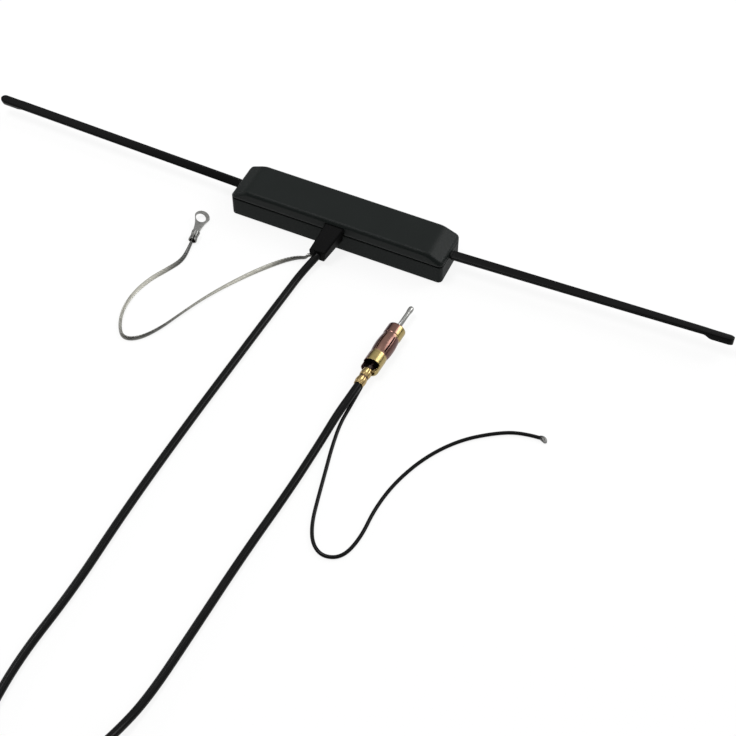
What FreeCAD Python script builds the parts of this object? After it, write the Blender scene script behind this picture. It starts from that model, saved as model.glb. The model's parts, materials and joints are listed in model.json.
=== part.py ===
import FreeCAD, Part
import math
import os
import re
import Sketcher

Vector = FreeCAD.Vector

# Sizes in millimetres, angles in degrees. The box lies along X, leads leave towards -Y, z = 0 is the glass.
driving = {
    "housing_length": 118.4,
    "housing_depth": 24.0,
    "corner_radius": 2.4,
    "shell_height": 10.8,
    "shell_wall": 2.0,
    "shell_floor": 2.4,
    "bottom_round": 0.4,
    "seam_gap": 0.95,
    "lip_height": 1.8,
    "lip_thickness": 1.0,
    "cover_height": 5.55,
    "cover_end_height": 1.35,
    "cover_slope": 8.8,
    "side_inset": 0.7,
    "cover_blend": 9.0,
    "cover_bevel": 1.2,
    "cover_ceiling": 2.3,
    "pad_length": 104.0,
    "pad_width": 16.0,
    "pad_thickness": 1.0,
    "pad_recess": 0.9,
    "pad_clearance": 0.2,
    "post_inset": 13.0,
    "post_radius": 4.0,
    "post_height": 2.5,
    "boss_radius": 2.8,
    "screw_radius": 1.3,
    "screw_head_radius": 2.5,
    "screw_head_height": 1.3,
    "screw_seat": 1.4,
    "screw_length": 9.5,
    "screw_clearance": 0.2,
    "board_length": 94.0,
    "board_width": 14.8,
    "board_thickness": 1.6,
    "part_clearance": 2.2,
    "transistor_x": 14.0,
    "transistor_radius": 2.3,
    "transistor_height": 4.6,
    "choke_x": -12.0,
    "choke_radius": 3.2,
    "choke_wire": 1.1,
    "capacitor_radius": 2.5,
    "capacitor_height": 6.4,
    "capacitor_spacing": 7.0,
    "resistor_radius": 1.0,
    "resistor_length": 6.0,
    "resistor_spacing": 4.0,
    "clip_inset": 4.0,
    "clip_width": 5.0,
    "clip_length": 4.0,
    "clip_sheet": 0.8,
    "clip_height": 5.4,
    "lug_width": 2.6,
    "lug_sheet": 0.8,
    "lug_height": 6.4,
    "whip_height": 10.0,
    "whip_width": 4.7,
    "whip_thickness": 2.2,
    "whip_round": 0.6,
    "whip_reach_left": 149.9,
    "whip_reach_right": 144.4,
    "left_whip_angle": 1.25,
    "right_whip_angle": 2.6,
    "left_whip_roll_angle": -36.0,
    "right_whip_roll_angle": -20.0,
    "whip_root_radius": 1.9,
    "whip_root_length": 5.0,
    "whip_standoff": 0.3,
    "collar_radius": 2.7,
    "collar_length": 1.2,
    "collar_clearance": 0.2,
    "foot_length": 14.0,
    "foot_ramp": 2.0,
    "foot_drop": 1.6,
    "tip_radius": 2.25,
    "wire_radius": 0.6,
    "wire_past": 1.5,
    "wire_tip_cover": 12.0,
    "gland_wall_shift": 0.1,
    "gland_wall_width": 10.8,
    "gland_wall_low": 6.2,
    "gland_wall_height": 9.2,
    "gland_end_shift": 3.25,
    "gland_end_width": 8.9,
    "gland_end_low": 2.6,
    "gland_end_height": 6.2,
    "gland_reach": 13.0,
    "gland_round": 0.9,
    "gland_wall_draft": 1.2,
    "gland_end_draft": 0.4,
    "flange_low": 5.4,
    "flange_width": 12.6,
    "flange_height": 8.9,
    "flange_thickness": 1.4,
    "coax_radius": 1.85,
    "coax_dielectric": 1.1,
    "coax_conductor": 0.45,
    "strip_length": 2.0,
    "conductor_length": 3.4,
    "coax_inner_x": 1.6,
    "coax_inner_height": 4.0,
    "coax_exit_x": -0.15,
    "coax_exit_height": 2.3,
    "coax_bend_inset": 0.0,
    "earth_inner_x": -1.85,
    "earth_inner_height": 3.0,
    "earth_exit_x": -2.45,
    "earth_exit_height": 1.5,
    "earth_bend_inset": 1.8,
    "earth_out": 3.6,
    "lead_inside": 6.0,
    "earth_radius": 1.0,
    "earth_strand": 0.5,
    "power_radius": 0.8,
    "power_strand": 0.55,
    "power_bare": 3.0,
    "power_angle": 30.0,
    "power_straight": 6.0,
    "lead_start": 0.9,
    "lead_clearance": 0.02,
    "coax_straight": 10.2,
    "plug_straight": 8.0,
    "terminal_straight": 5.0,
    "coil_straight": 15.0,
    "coil_radius": 20.5,
    "coil_pitch": 3.75,
    "coil_columns": 3,
    "coil_rows": 4,
    "coil_lead": 28.0,
    "coil_x": 9.0,
    "coil_y": -352.0,
    "tie_thickness": 0.8,
    "tie_width": 4.0,
    "plug_x": 50.15,
    "plug_y": -90.0,
    "plug_angle": 4.0,
    "sleeve_radius": 4.7,
    "sleeve_wall": 0.45,
    "sleeve_start": 10.0,
    "sleeve_rear": 8.5,
    "sleeve_neck": 1.2,
    "sleeve_neck_depth": 0.35,
    "sleeve_bow": 12.0,
    "sleeve_bow_rise": 0.65,
    "sleeve_front": 5.6,
    "sleeve_opening": 4.7,
    "slot_width": 0.9,
    "slot_length": 10.4,
    "slot_count": 6,
    "mouth_angle": -22.0,
    "mouth_low": 1.6,
    "insulator_length": 4.8,
    "insulator_inset": 0.7,
    "insulator_rear": 2.5,
    "pin_radius": 1.2,
    "pin_bulb": 1.5,
    "pin_bulb_length": 4.0,
    "pin_reach": 15.8,
    "pin_tail": 20.0,
    "crimp_start": 1.0,
    "crimp_wall": 0.6,
    "crimp_bead": 0.4,
    "crimp_bead_length": 1.8,
    "crimp_land": 1.4,
    "crimp_cone": 2.6,
    "crimp_seat": 3.3,
    "terminal_x": -71.8,
    "terminal_y": -22.9,
    "terminal_angle": 103.9,
    "terminal_radius": 4.3,
    "terminal_hole": 2.65,
    "terminal_sheet": 0.8,
    "terminal_neck": 3.2,
    "terminal_barrel_start": 9.6,
    "terminal_barrel": 6.6,
    "terminal_barrel_wall": 0.8,
    "terminal_slit": 0.5,
}

doc = FreeCAD.newDocument("windshield_antenna")
sheet = doc.addObject("Spreadsheet::Sheet", "sizes")
for row, (alias, number) in enumerate(driving.items(), 1):
    sheet.set(f"A{row}", str(number))
    sheet.setAlias(f"A{row}", alias)
doc.recompute()

# Heights and places that follow from the driving sizes.
shell_base = "(pad_thickness - pad_recess)"
floor_top = f"({shell_base} + shell_floor)"
rim = f"({shell_base} + shell_height)"
seam_top = f"({rim} + seam_gap)"
cover_top = f"({seam_top} + cover_height)"
ceiling = f"({cover_top} - cover_ceiling)"
lip_top = f"({rim} + lip_height)"
board_low = f"({floor_top} + post_height)"
board_top = f"({board_low} + board_thickness)"
front_wall = "(-housing_depth / 2)"
gland_end_y = "(-housing_depth / 2 - gland_reach)"
lip_length = "(housing_length - 2 * cover_slope)"
post_x = "(board_length / 2 - post_inset)"
clip_x = "(board_length / 2 - clip_inset)"
capacitor_x = f"({post_x} - boss_radius - part_clearance - capacitor_radius)"
resistor_x = f"(-{post_x} + boss_radius + part_clearance + resistor_length / 2)"
wire_inside = f"(housing_length / 2 - {clip_x} + wire_past)"
plug_axis_height = "(sleeve_radius - sleeve_neck_depth + sleeve_bow_rise)"
slots = {"x": "Placement.Base.x", "y": "Placement.Base.y", "z": "Placement.Base.z"}
shifts = {"dx": "AttachmentOffset.Base.x", "dy": "AttachmentOffset.Base.y", "dz": "AttachmentOffset.Base.z"}


def formula(text):
    return re.sub(r"[a-z]\w*", lambda word: "sizes." + word[0] if word[0] in driving else word[0], text)


def value(text):
    return float(sheet.evalExpression(formula(text)))


def bind(thing, **formulas):
    for name, text in formulas.items():
        thing.setExpression(slots.get(name) or shifts.get(name) or name, formula(text))
    return thing


def new_body(label):
    body = doc.addObject("PartDesign::Body", label)
    body.Label = label
    return body


def origin_plane(body, role):
    return next(feature for feature in body.Origin.OriginFeatures if feature.Role == role)


def new_sketch(body, name, role, **offsets):
    sketch = body.newObject("Sketcher::SketchObject", name)
    sketch.AttachmentSupport = [(origin_plane(body, role), "")]
    sketch.MapMode = "FlatFace"
    return bind(sketch, **offsets)


def dimension(sketch, name, text, *constraint):
    index = sketch.addConstraint(Sketcher.Constraint(*constraint, value(text)))
    sketch.renameConstraint(index, name)
    sketch.setExpression(f"Constraints.{name}", formula(text))


def rectangle(sketch, width, height):
    # a rectangle about the sketch's origin
    across = value(width) / 2
    up = value(height) / 2
    corners = [Vector(-across, -up, 0), Vector(across, -up, 0), Vector(across, up, 0), Vector(-across, up, 0)]
    for index in range(4):
        sketch.addGeometry(Part.LineSegment(corners[index], corners[(index + 1) % 4]), False)
    for index in range(4):
        sketch.addConstraint(Sketcher.Constraint("Coincident", index, 2, (index + 1) % 4, 1))
        sketch.addConstraint(Sketcher.Constraint("Vertical" if index % 2 else "Horizontal", index))
    sketch.addConstraint(Sketcher.Constraint("Symmetric", 0, 1, 1, 2, -1, 1))
    dimension(sketch, "width", width, "DistanceX", 0, 1, 0, 2)
    dimension(sketch, "height", height, "DistanceY", 1, 1, 1, 2)


def circle(sketch, radius):
    # a circle about the sketch's origin
    sketch.addGeometry(Part.Circle(Vector(0, 0, 0), Vector(0, 0, 1), value(radius)), False)
    sketch.addConstraint(Sketcher.Constraint("Coincident", 0, 3, -1, 1))
    dimension(sketch, "radius", radius, "Radius", 0)


def outline(sketch, corners, rises=None):
    # a closed outline through corners in the first quadrant; rises gives an arc's height over its chord
    rises = rises or {}
    places = [Vector(value(x), value(y), 0) for x, y in corners]
    ends = []
    for index, start in enumerate(places):
        stop = places[(index + 1) % len(places)]
        if index in rises:
            middle = (start + stop) * 0.5 + Vector(0, value(rises[index]), 0)
            sketch.addGeometry(Part.Arc(start, middle, stop), False)
        else:
            sketch.addGeometry(Part.LineSegment(start, stop), False)
        forward = (sketch.getPoint(index, 1) - start).Length < 1e-6
        ends.append((1, 2) if forward else (2, 1))
    for index, (x, y) in enumerate(corners):
        following = (index + 1) % len(corners)
        joint = (index, ends[index][1], following, ends[following][0])
        sketch.addConstraint(Sketcher.Constraint("Coincident", *joint))
        if abs(places[index].x) < 1e-9:
            sketch.addConstraint(Sketcher.Constraint("PointOnObject", index, ends[index][0], -2))
        else:
            dimension(sketch, f"x{index}", x, "DistanceX", -1, 1, index, ends[index][0])
        if abs(places[index].y) < 1e-9:
            sketch.addConstraint(Sketcher.Constraint("PointOnObject", index, ends[index][0], -1))
        else:
            dimension(sketch, f"y{index}", y, "DistanceY", -1, 1, index, ends[index][0])
        if index in rises:
            chord = f"(({corners[following][0]}) - ({x}))"
            radius = f"(({chord} / 2) ^ 2 + ({rises[index]}) ^ 2) / (2 * ({rises[index]}))"
            dimension(sketch, f"arc{index}", radius, "Radius", index)


def pad(body, name, sketch, length, symmetric=False, inward=False):
    feature = body.newObject("PartDesign::Pad", name)
    feature.Profile = sketch
    feature.SideType = "Symmetric" if symmetric else "One side"
    feature.Reversed = inward
    return bind(feature, Length=length)


def pocket(body, name, sketch, length, upward=False, symmetric=False):
    feature = body.newObject("PartDesign::Pocket", name)
    feature.Profile = sketch
    feature.SideType = "Symmetric" if symmetric else "One side"
    feature.Reversed = upward
    return bind(feature, Length=length)


def revolve(body, name, sketch, axis):
    feature = body.newObject("PartDesign::Revolution", name)
    feature.Profile = sketch
    feature.ReferenceAxis = (sketch, [axis])
    feature.Angle = 360
    return feature


def block(body, name, kind, length, width, height, **corner):
    feature = body.newObject(f"PartDesign::{kind}Box", name)
    return bind(feature, Length=length, Width=width, Height=height, **corner)


def rod(body, name, kind, radius, length, axis=None, **foot):
    feature = body.newObject(f"PartDesign::{kind}Cylinder", name)
    if axis is not None:
        feature.Placement = FreeCAD.Placement(Vector(0, 0, 0), FreeCAD.Rotation(Vector(0, 0, 1), axis))
    return bind(feature, Radius=radius, Height=length, **foot)


def fillet(body, name, base, radius, chosen):
    doc.recompute()
    edges = [f"Edge{index}" for index, edge in enumerate(base.Shape.Edges, 1) if chosen(edge)]
    feature = body.newObject("PartDesign::Fillet", name)
    feature.Base = (base, edges)
    return bind(feature, Radius=radius)


def bevel(body, name, base, size, chosen):
    doc.recompute()
    edges = [f"Edge{index}" for index, edge in enumerate(base.Shape.Edges, 1) if chosen(edge)]
    feature = body.newObject("PartDesign::Chamfer", name)
    feature.Base = (base, edges)
    return bind(feature, Size=size)


def mirror(body, name, originals, role):
    feature = body.newObject("PartDesign::Mirrored", name)
    feature.Originals = originals
    feature.MirrorPlane = (origin_plane(body, role), [""])
    body.Tip = feature
    return feature


def is_along(edge, axis):
    if edge.Curve.TypeId != "Part::GeomLine":
        return False
    return edge.tangentAt(edge.FirstParameter).cross(axis).Length < 1e-6


def lies_at(edge, axis, place):
    return all(abs(vertex.Point.dot(axis) - place) < 1e-6 for vertex in edge.Vertexes)


def plain(kind, label, **formulas):
    return bind(doc.addObject(f"Part::{kind}", label), **formulas)


def cut(label, base, tool):
    feature = doc.addObject("Part::Cut", label)
    feature.Base = base
    feature.Tool = tool
    return feature


def fuse(label, pieces):
    feature = doc.addObject("Part::MultiFuse", label)
    feature.Shapes = pieces
    return feature


def group(label, pieces):
    feature = doc.addObject("Part::Compound", label)
    feature.Links = pieces
    return feature


along_x = Vector(1, 0, 0)
along_y = Vector(0, 1, 0)
along_z = Vector(0, 0, 1)


# Whips: each lies along its own axis, which leaves the end of the box and sweeps back a little.
def whip_direction(side):
    if side == "right":
        angle = math.radians(value("right_whip_angle"))
        return Vector(math.cos(angle), math.sin(angle), 0)
    angle = math.radians(value("left_whip_angle"))
    return Vector(-math.cos(angle), math.sin(angle), 0)


def whip_turn(side):
    if side == "right":
        return FreeCAD.Rotation(value("right_whip_angle"), 0, value("right_whip_roll_angle"))
    return FreeCAD.Rotation(180 - value("left_whip_angle"), 0, value("left_whip_roll_angle"))


whip_sides = {"left": "-housing_length / 2", "right": "housing_length / 2"}


def make_whip(side, reach, wall_x):
    body = new_body(f"{side}_whip")
    side_view = new_sketch(body, f"{side}_whip_profile", "XZ_Plane", dy="-whip_thickness / 2 - foot_drop")
    outline(side_view, [
        ("whip_standoff", "foot_drop"),
        (f"{reach} - foot_length", "foot_drop"),
        (f"{reach} - foot_length + foot_ramp", "0"),
        (reach, "0"),
        (reach, "foot_drop + whip_thickness"),
        ("whip_standoff", "foot_drop + whip_thickness"),
    ])
    strip = pad(body, f"{side}_whip_strip", side_view, "whip_width", symmetric=True)
    tip = value(reach)
    rounded = fillet(body, f"{side}_whip_tip", strip, "tip_radius",
                     lambda edge: is_along(edge, along_z) and lies_at(edge, along_x, tip))
    half = value("whip_width") / 2
    fillet(body, f"{side}_whip_edges", rounded, "whip_round",
           lambda edge: is_along(edge, along_x) and abs(abs(edge.Vertexes[0].Y) - half) < 1e-6)
    inset = "-shell_wall - whip_standoff"
    rod(body, f"{side}_whip_root", "Additive", "whip_root_radius", "whip_root_length + whip_standoff",
        along_x, x="-whip_root_length")
    rod(body, f"{side}_whip_collar", "Additive", "collar_radius", "collar_length",
        along_x, x=f"{inset} - collar_length")
    rod(body, f"{side}_whip_bore", "Subtractive", "wire_radius",
        f"{reach} + whip_root_length - wire_tip_cover", along_x, x="-whip_root_length")
    body.Placement = FreeCAD.Placement(Vector(0, 0, 0), whip_turn(side))
    return bind(body, x=wall_x, z="whip_height")


def make_whip_wire(side, reach):
    wire = plain("Cylinder", f"{side}_whip_wire", Radius="wire_radius",
                 Height=f"{reach} + {wire_inside} - wire_tip_cover")
    direction = whip_direction(side)
    start = Vector(value(whip_sides[side]), 0, value("whip_height")) - direction * value(wire_inside)
    wire.Placement = FreeCAD.Placement(start, FreeCAD.Rotation(along_z, direction))
    return wire


def whip_holes(body, name):
    for side, wall_x in whip_sides.items():
        outward = whip_direction(side)
        root = Vector(value(wall_x), 0, value("whip_height"))
        hole = rod(body, f"{name}_{side}_hole", "Subtractive", "whip_root_radius", "2 * cover_slope", outward)
        hole.Placement.Base = root - outward * value("cover_slope")
        bay = rod(body, f"{name}_{side}_bay", "Subtractive", "collar_radius + collar_clearance",
                  "cover_slope", -outward)
        bay.Placement.Base = root - outward * value("shell_wall")


# Section of the strain relief in the wall, narrower below; the shell and the cover are cut to it.
def tapered_section(body, name, left, low, width, height, draft, place):
    sketch = new_sketch(body, name, "XZ_Plane", dx=left, dy=low, dz=f"-{place}")
    outline(sketch, [(draft, "0"), (f"{width} - {draft}", "0"), (width, height), ("0", height)])
    return sketch


def gland_section(body, name):
    return tapered_section(body, name, "gland_wall_shift - gland_wall_width / 2", "gland_wall_low",
                           "gland_wall_width", "gland_wall_height", "gland_wall_draft", front_wall)


# Lower shell: a tray with a lip along its long sides, screw posts and a shallow seat for the pad.
def make_lower_shell():
    body = new_body("lower_shell")
    plan = new_sketch(body, "shell_plan", "XY_Plane", dz=shell_base)
    rectangle(plan, "housing_length", "housing_depth")
    tray = pad(body, "shell_tray", plan, "shell_height")
    corners = fillet(body, "shell_corners", tray, "corner_radius", lambda edge: is_along(edge, along_z))
    low = value(shell_base)
    fillet(body, "shell_bottom_round", corners, "bottom_round", lambda edge: lies_at(edge, along_z, low))
    cavity = new_sketch(body, "shell_cavity_plan", "XY_Plane", dz=rim)
    rectangle(cavity, "housing_length - 2 * shell_wall", "housing_depth - 2 * shell_wall")
    pocket(body, "shell_cavity", cavity, "shell_height - shell_floor")
    lip = block(body, "shell_lip", "Additive", lip_length, "lip_thickness", "lip_height",
                x=f"-{lip_length} / 2", y="housing_depth / 2 - shell_wall", z=rim)
    mirror(body, "shell_lips", [lip], "XZ_Plane")
    post = rod(body, "shell_post", "Additive", "post_radius", "post_height",
               x=post_x, z=floor_top)
    mirror(body, "shell_posts", [post], "YZ_Plane")
    shaft = rod(body, "screw_way", "Subtractive", "screw_radius + screw_clearance",
                "shell_floor + post_height", x=post_x, z=shell_base)
    mirror(body, "screw_ways", [shaft], "YZ_Plane")
    seat = rod(body, "screw_seat_bore", "Subtractive", "screw_head_radius + screw_clearance",
               "pad_recess + screw_seat", x=post_x, z=shell_base)
    mirror(body, "screw_seat_bores", [seat], "YZ_Plane")
    recess = new_sketch(body, "pad_recess_plan", "XY_Plane", dz=shell_base)
    rectangle(recess, "pad_length + 2 * pad_clearance", "pad_width + 2 * pad_clearance")
    pocket(body, "pad_recess_pocket", recess, "pad_recess", upward=True)
    pocket(body, "shell_gland_slot", gland_section(body, "shell_gland_outline"), "shell_wall")
    whip_holes(body, "shell")
    return body


# Upper cover: a flat roof with ramps to its ends and a bevel round its top, a rebate that sits on the shell's lips, two screw bosses.
def make_upper_cover():
    body = new_body("upper_cover")
    side_view = new_sketch(body, "cover_profile", "XZ_Plane", dx="-housing_length / 2")
    shoulder = f"{seam_top} + cover_end_height"
    outline(side_view, [
        ("0", seam_top),
        ("housing_length", seam_top),
        ("housing_length", shoulder),
        ("housing_length - cover_slope", cover_top),
        ("cover_slope", cover_top),
        ("0", shoulder),
    ])
    roof = pad(body, "cover_roof", side_view, "housing_depth", symmetric=True)
    top = value(cover_top)
    fillet(body, "cover_ramps", roof, "cover_blend",
           lambda edge: is_along(edge, along_y) and lies_at(edge, along_z, top))
    lean = new_sketch(body, "side_lean_outline", "YZ_Plane")
    beyond = f"2 * {cover_top} - {seam_top}"
    outline(lean, [
        ("housing_depth / 2", seam_top),
        ("housing_depth / 2 + side_inset", seam_top),
        ("housing_depth / 2 + side_inset", beyond),
        ("housing_depth / 2 - 2 * side_inset", beyond),
    ])
    side = pocket(body, "side_lean", lean, "2 * housing_length", symmetric=True)
    sides = mirror(body, "side_leans", [side], "XZ_Plane")
    low = value(seam_top)
    end = value("housing_length / 2")
    corners = fillet(body, "cover_corners", sides, "corner_radius",
                     lambda edge: abs(edge.Vertexes[0].Z - edge.Vertexes[1].Z) > 1e-3
                     and all(abs(abs(vertex.X) - end) < 1e-6 for vertex in edge.Vertexes))
    bevel(body, "cover_edges", corners, "cover_bevel",
          lambda edge: min(vertex.Z for vertex in edge.Vertexes) > low + value("cover_end_height") / 2
          and not (is_along(edge, along_y) and all(abs(vertex.X) < end - 1e-3 for vertex in edge.Vertexes)))
    rebate = new_sketch(body, "cover_rebate_plan", "XY_Plane", dz=seam_top)
    rectangle(rebate, lip_length, "housing_depth - 2 * shell_wall + 2 * lip_thickness")
    pocket(body, "cover_rebate", rebate, "lip_height - seam_gap", upward=True)
    cavity = new_sketch(body, "cover_cavity_plan", "XY_Plane", dz=seam_top)
    rectangle(cavity, lip_length, "housing_depth - 2 * shell_wall")
    pocket(body, "cover_cavity", cavity, "cover_height - cover_ceiling", upward=True)
    boss = rod(body, "cover_boss", "Additive", "boss_radius", f"{ceiling} - {board_top}",
               x=post_x, z=board_top)
    mirror(body, "cover_bosses", [boss], "YZ_Plane")
    pilot = rod(body, "screw_pilot", "Subtractive", "screw_radius",
                f"{shell_base} + pad_recess + screw_seat + screw_length - {board_top}",
                x=post_x, z=board_top)
    mirror(body, "screw_pilots", [pilot], "YZ_Plane")
    pocket(body, "cover_gland_slot", gland_section(body, "cover_gland_outline"), "shell_wall")
    whip_holes(body, "cover")
    return body


# Screws, pad and board.
def make_screws():
    seat = f"({shell_base} + pad_recess + screw_seat)"
    screws = []
    for name, place in (("left", f"-{post_x}"), ("right", post_x)):
        head = plain("Cylinder", f"{name}_screw_head", Radius="screw_head_radius", Height="screw_head_height",
                     x=place, z=f"{seat} - screw_head_height")
        shank = plain("Cylinder", f"{name}_screw_shank", Radius="screw_radius", Height="screw_length",
                      x=place, z=seat)
        screws.append(fuse(f"{name}_screw", [head, shank]))
    return group("housing_screws", screws)


def make_pad():
    body = new_body("adhesive_pad")
    plan = new_sketch(body, "pad_plan", "XY_Plane")
    rectangle(plan, "pad_length", "pad_width")
    pad(body, "pad_sheet", plan, "pad_thickness")
    return body


def make_board():
    body = new_body("circuit_board")
    plan = new_sketch(body, "board_plan", "XY_Plane", dz=board_low)
    rectangle(plan, "board_length", "board_width")
    pad(body, "board_sheet", plan, "board_thickness")
    hole = rod(body, "board_hole", "Subtractive", "screw_radius + screw_clearance", "board_thickness",
               x=post_x, z=board_low)
    mirror(body, "board_holes", [hole], "YZ_Plane")
    return body


# Parts of the amplifier, each standing on the board.
def make_transistor():
    can = plain("Cylinder", "transistor_can", Radius="transistor_radius", Height="transistor_height",
                x="transistor_x", z=board_top)
    flat = plain("Box", "transistor_flat", Length="2 * transistor_radius", Width="transistor_radius",
                 Height="transistor_height", x=f"transistor_x - transistor_radius",
                 y="transistor_radius / 2", z=board_top)
    return cut("transistor", can, flat)


def make_choke():
    return plain("Torus", "choke", Radius1="choke_radius", Radius2="choke_wire", x="choke_x",
                 z=f"{board_top} + choke_wire")


def make_capacitors():
    cans = []
    for index, offset in enumerate(("-capacitor_spacing / 2", "capacitor_spacing / 2"), 1):
        can = plain("Cylinder", f"capacitor_{index}", Radius="capacitor_radius", Height="capacitor_height")
        cans.append(bind(can, x=capacitor_x, y=offset, z=board_top))
    return group("capacitors", cans)


def make_resistors():
    pieces = []
    for index in range(3):
        piece = plain("Cylinder", f"resistor_{index + 1}", Radius="resistor_radius", Height="resistor_length")
        piece.Placement = FreeCAD.Placement(Vector(0, 0, 0), FreeCAD.Rotation(along_z, along_x))
        pieces.append(bind(piece, x=f"{resistor_x} - resistor_length / 2", y=f"resistor_spacing * {index - 1}",
                           z=f"{board_top} + resistor_radius"))
    return group("resistors", pieces)


def make_whip_clips(wires):
    clips = []
    for side, wire in wires.items():
        outward = 1 if side == "right" else -1
        edge = f"{outward} * {clip_x}"
        bend = f"{edge} + {outward} * (clip_length - clip_sheet) / 2 - clip_sheet / 2"
        foot = plain("Box", f"{side}_clip_foot", Length="clip_length", Width="clip_width")
        bind(foot, Height="clip_sheet", x=f"{edge} - clip_length / 2", y="-clip_width / 2", z=board_top)
        wall = plain("Box", f"{side}_clip_wall", Length="clip_sheet", Width="clip_width")
        bind(wall, Height="clip_height", x=bend, y="-clip_width / 2", z=board_top)
        clips.append(cut(f"{side}_clip", fuse(f"{side}_clip_bent", [foot, wall]), wire))
    return group("whip_clips", clips)


# Leads inside the strain relief: the coax runs straight out of the moulding, the earth lead bends to its side.
def lead_inner(name):
    depth = value(f"{front_wall} + lead_inside")
    return Vector(value(f"{name}_inner_x"), depth, value(f"{board_top} + {name}_inner_height"))


def lead_exit(name):
    across = value(f"{name}_exit_x - gland_end_shift")
    depth = value(f"{gland_end_y} + {name}_bend_inset")
    return Vector(across, depth, value(f"gland_end_low + {name}_exit_height"))


def lead_outward(name):
    return (lead_exit(name) - lead_inner(name)).normalize()


def lead_end(name):
    return lead_exit(name) + lead_outward(name) * value("lead_start")


coax_layers = [("coax_dielectric", "strip_length"), ("coax_conductor", "conductor_length")]


def make_coax_entry():
    # the coax's straight stretch, with each inner layer stripped a little shorter than the one inside it
    end = lead_end("coax")
    reach = f"{(end - lead_inner('coax')).Length}"
    body = new_body("coax_entry")
    corners = [("0", "0"), ("0", "coax_radius")]
    for layer, length in coax_layers:
        corners += [(reach, corners[-1][1]), (reach, layer)]
        reach = f"{reach} + {length}"
    corners += [(reach, corners[-1][1]), (reach, "0")]
    section = new_sketch(body, "coax_entry_section", "XY_Plane")
    outline(section, corners)
    revolve(body, "coax_entry_round", section, "H_Axis")
    body.Placement = FreeCAD.Placement(end, FreeCAD.Rotation(along_x, -lead_outward("coax")))
    return body


def earth_bend_path():
    bend = lead_exit("earth")
    return [lead_inner("earth"), bend, bend + (earth_drop - bend).normalize() * value("earth_out")]


def make_earth_entry(jacket):
    strands = plain("Cylinder", "earth_strands", Radius="earth_strand", Height="conductor_length")
    strands.Placement = FreeCAD.Placement(lead_inner("earth"), FreeCAD.Rotation(along_z, -lead_outward("earth")))
    return fuse("earth_entry", [jacket, strands])


def lead_tool(label, name, radius):
    tool = plain("Cylinder", label, Radius=radius, Height="2 * gland_reach + housing_depth")
    tool.Placement = FreeCAD.Placement(lead_end(name), FreeCAD.Rotation(along_z, -lead_outward(name)))
    return tool


def make_lugs():
    lugs = []
    for name, radius in (("coax", "coax_conductor"), ("earth", "earth_strand")):
        stripped = value("strip_length") if name == "coax" else 0.0
        inward = -lead_outward(name)
        eye = lead_inner(name) + inward * (stripped + value("conductor_length") - value("lug_sheet"))
        tab = plain("Box", f"{name}_lug_tab", Length="lug_width", Width="lug_sheet", Height="lug_height")
        bind(tab, x=f"{eye.x} - lug_width / 2", y=f"{eye.y} - lug_sheet / 2", z=board_top)
        lugs.append(cut(f"{name}_lug", tab, lead_tool(f"{name}_lug_eye", name, radius)))
    return group("board_lugs", lugs)


# Strain relief: a block that tapers and leans, held in the wall by a neck and an inner flange.
def make_gland(earth_jacket):
    body = new_body("moulded_block")
    wall = gland_section(body, "gland_wall_section")
    end = tapered_section(body, "gland_end_section", "-gland_end_shift - gland_end_width / 2", "gland_end_low",
                          "gland_end_width", "gland_end_height", "gland_end_draft", gland_end_y)
    taper = body.newObject("PartDesign::AdditiveLoft", "gland_taper")
    taper.Profile = wall
    taper.Sections = [end]
    end_y = value(gland_end_y)
    fillet(body, "gland_edges", taper, "gland_round",
           lambda edge: not lies_at(edge, along_y, value(front_wall)) and not lies_at(edge, along_y, end_y))
    pad(body, "gland_neck", gland_section(body, "gland_neck_section"), "shell_wall", inward=True)
    block(body, "gland_flange", "Additive", "flange_width", "flange_thickness", "flange_height",
          x="gland_wall_shift - flange_width / 2", y=f"{front_wall} + shell_wall", z="flange_low")
    bore = rod(body, "coax_bore", "Subtractive", "coax_radius", "2 * gland_reach + housing_depth",
               -lead_outward("coax"))
    bore.Placement.Base = lead_end("coax")
    return cut("cable_gland", body, earth_jacket)


# Aerial plug: its own X axis runs from the crimp to the pin's tip.
def plug_placement():
    turn = FreeCAD.Rotation(90 - value("plug_angle"), 0, 0)
    return FreeCAD.Placement(Vector(value("plug_x"), value("plug_y"), value(plug_axis_height)), turn)


def place_plug_piece(body, turn=0.0):
    body.Placement = plug_placement().multiply(FreeCAD.Placement(Vector(0, 0, 0), FreeCAD.Rotation(along_x, turn)))
    return body


sleeve_rear_end = "(sleeve_start + sleeve_rear)"
sleeve_bow_start = f"({sleeve_rear_end} + sleeve_neck)"
sleeve_bow_end = f"({sleeve_bow_start} + sleeve_bow)"
sleeve_front_start = f"({sleeve_bow_end} + sleeve_neck)"
sleeve_front_end = f"({sleeve_front_start} + sleeve_front)"
sleeve_bore = "(sleeve_radius - sleeve_wall)"


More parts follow.
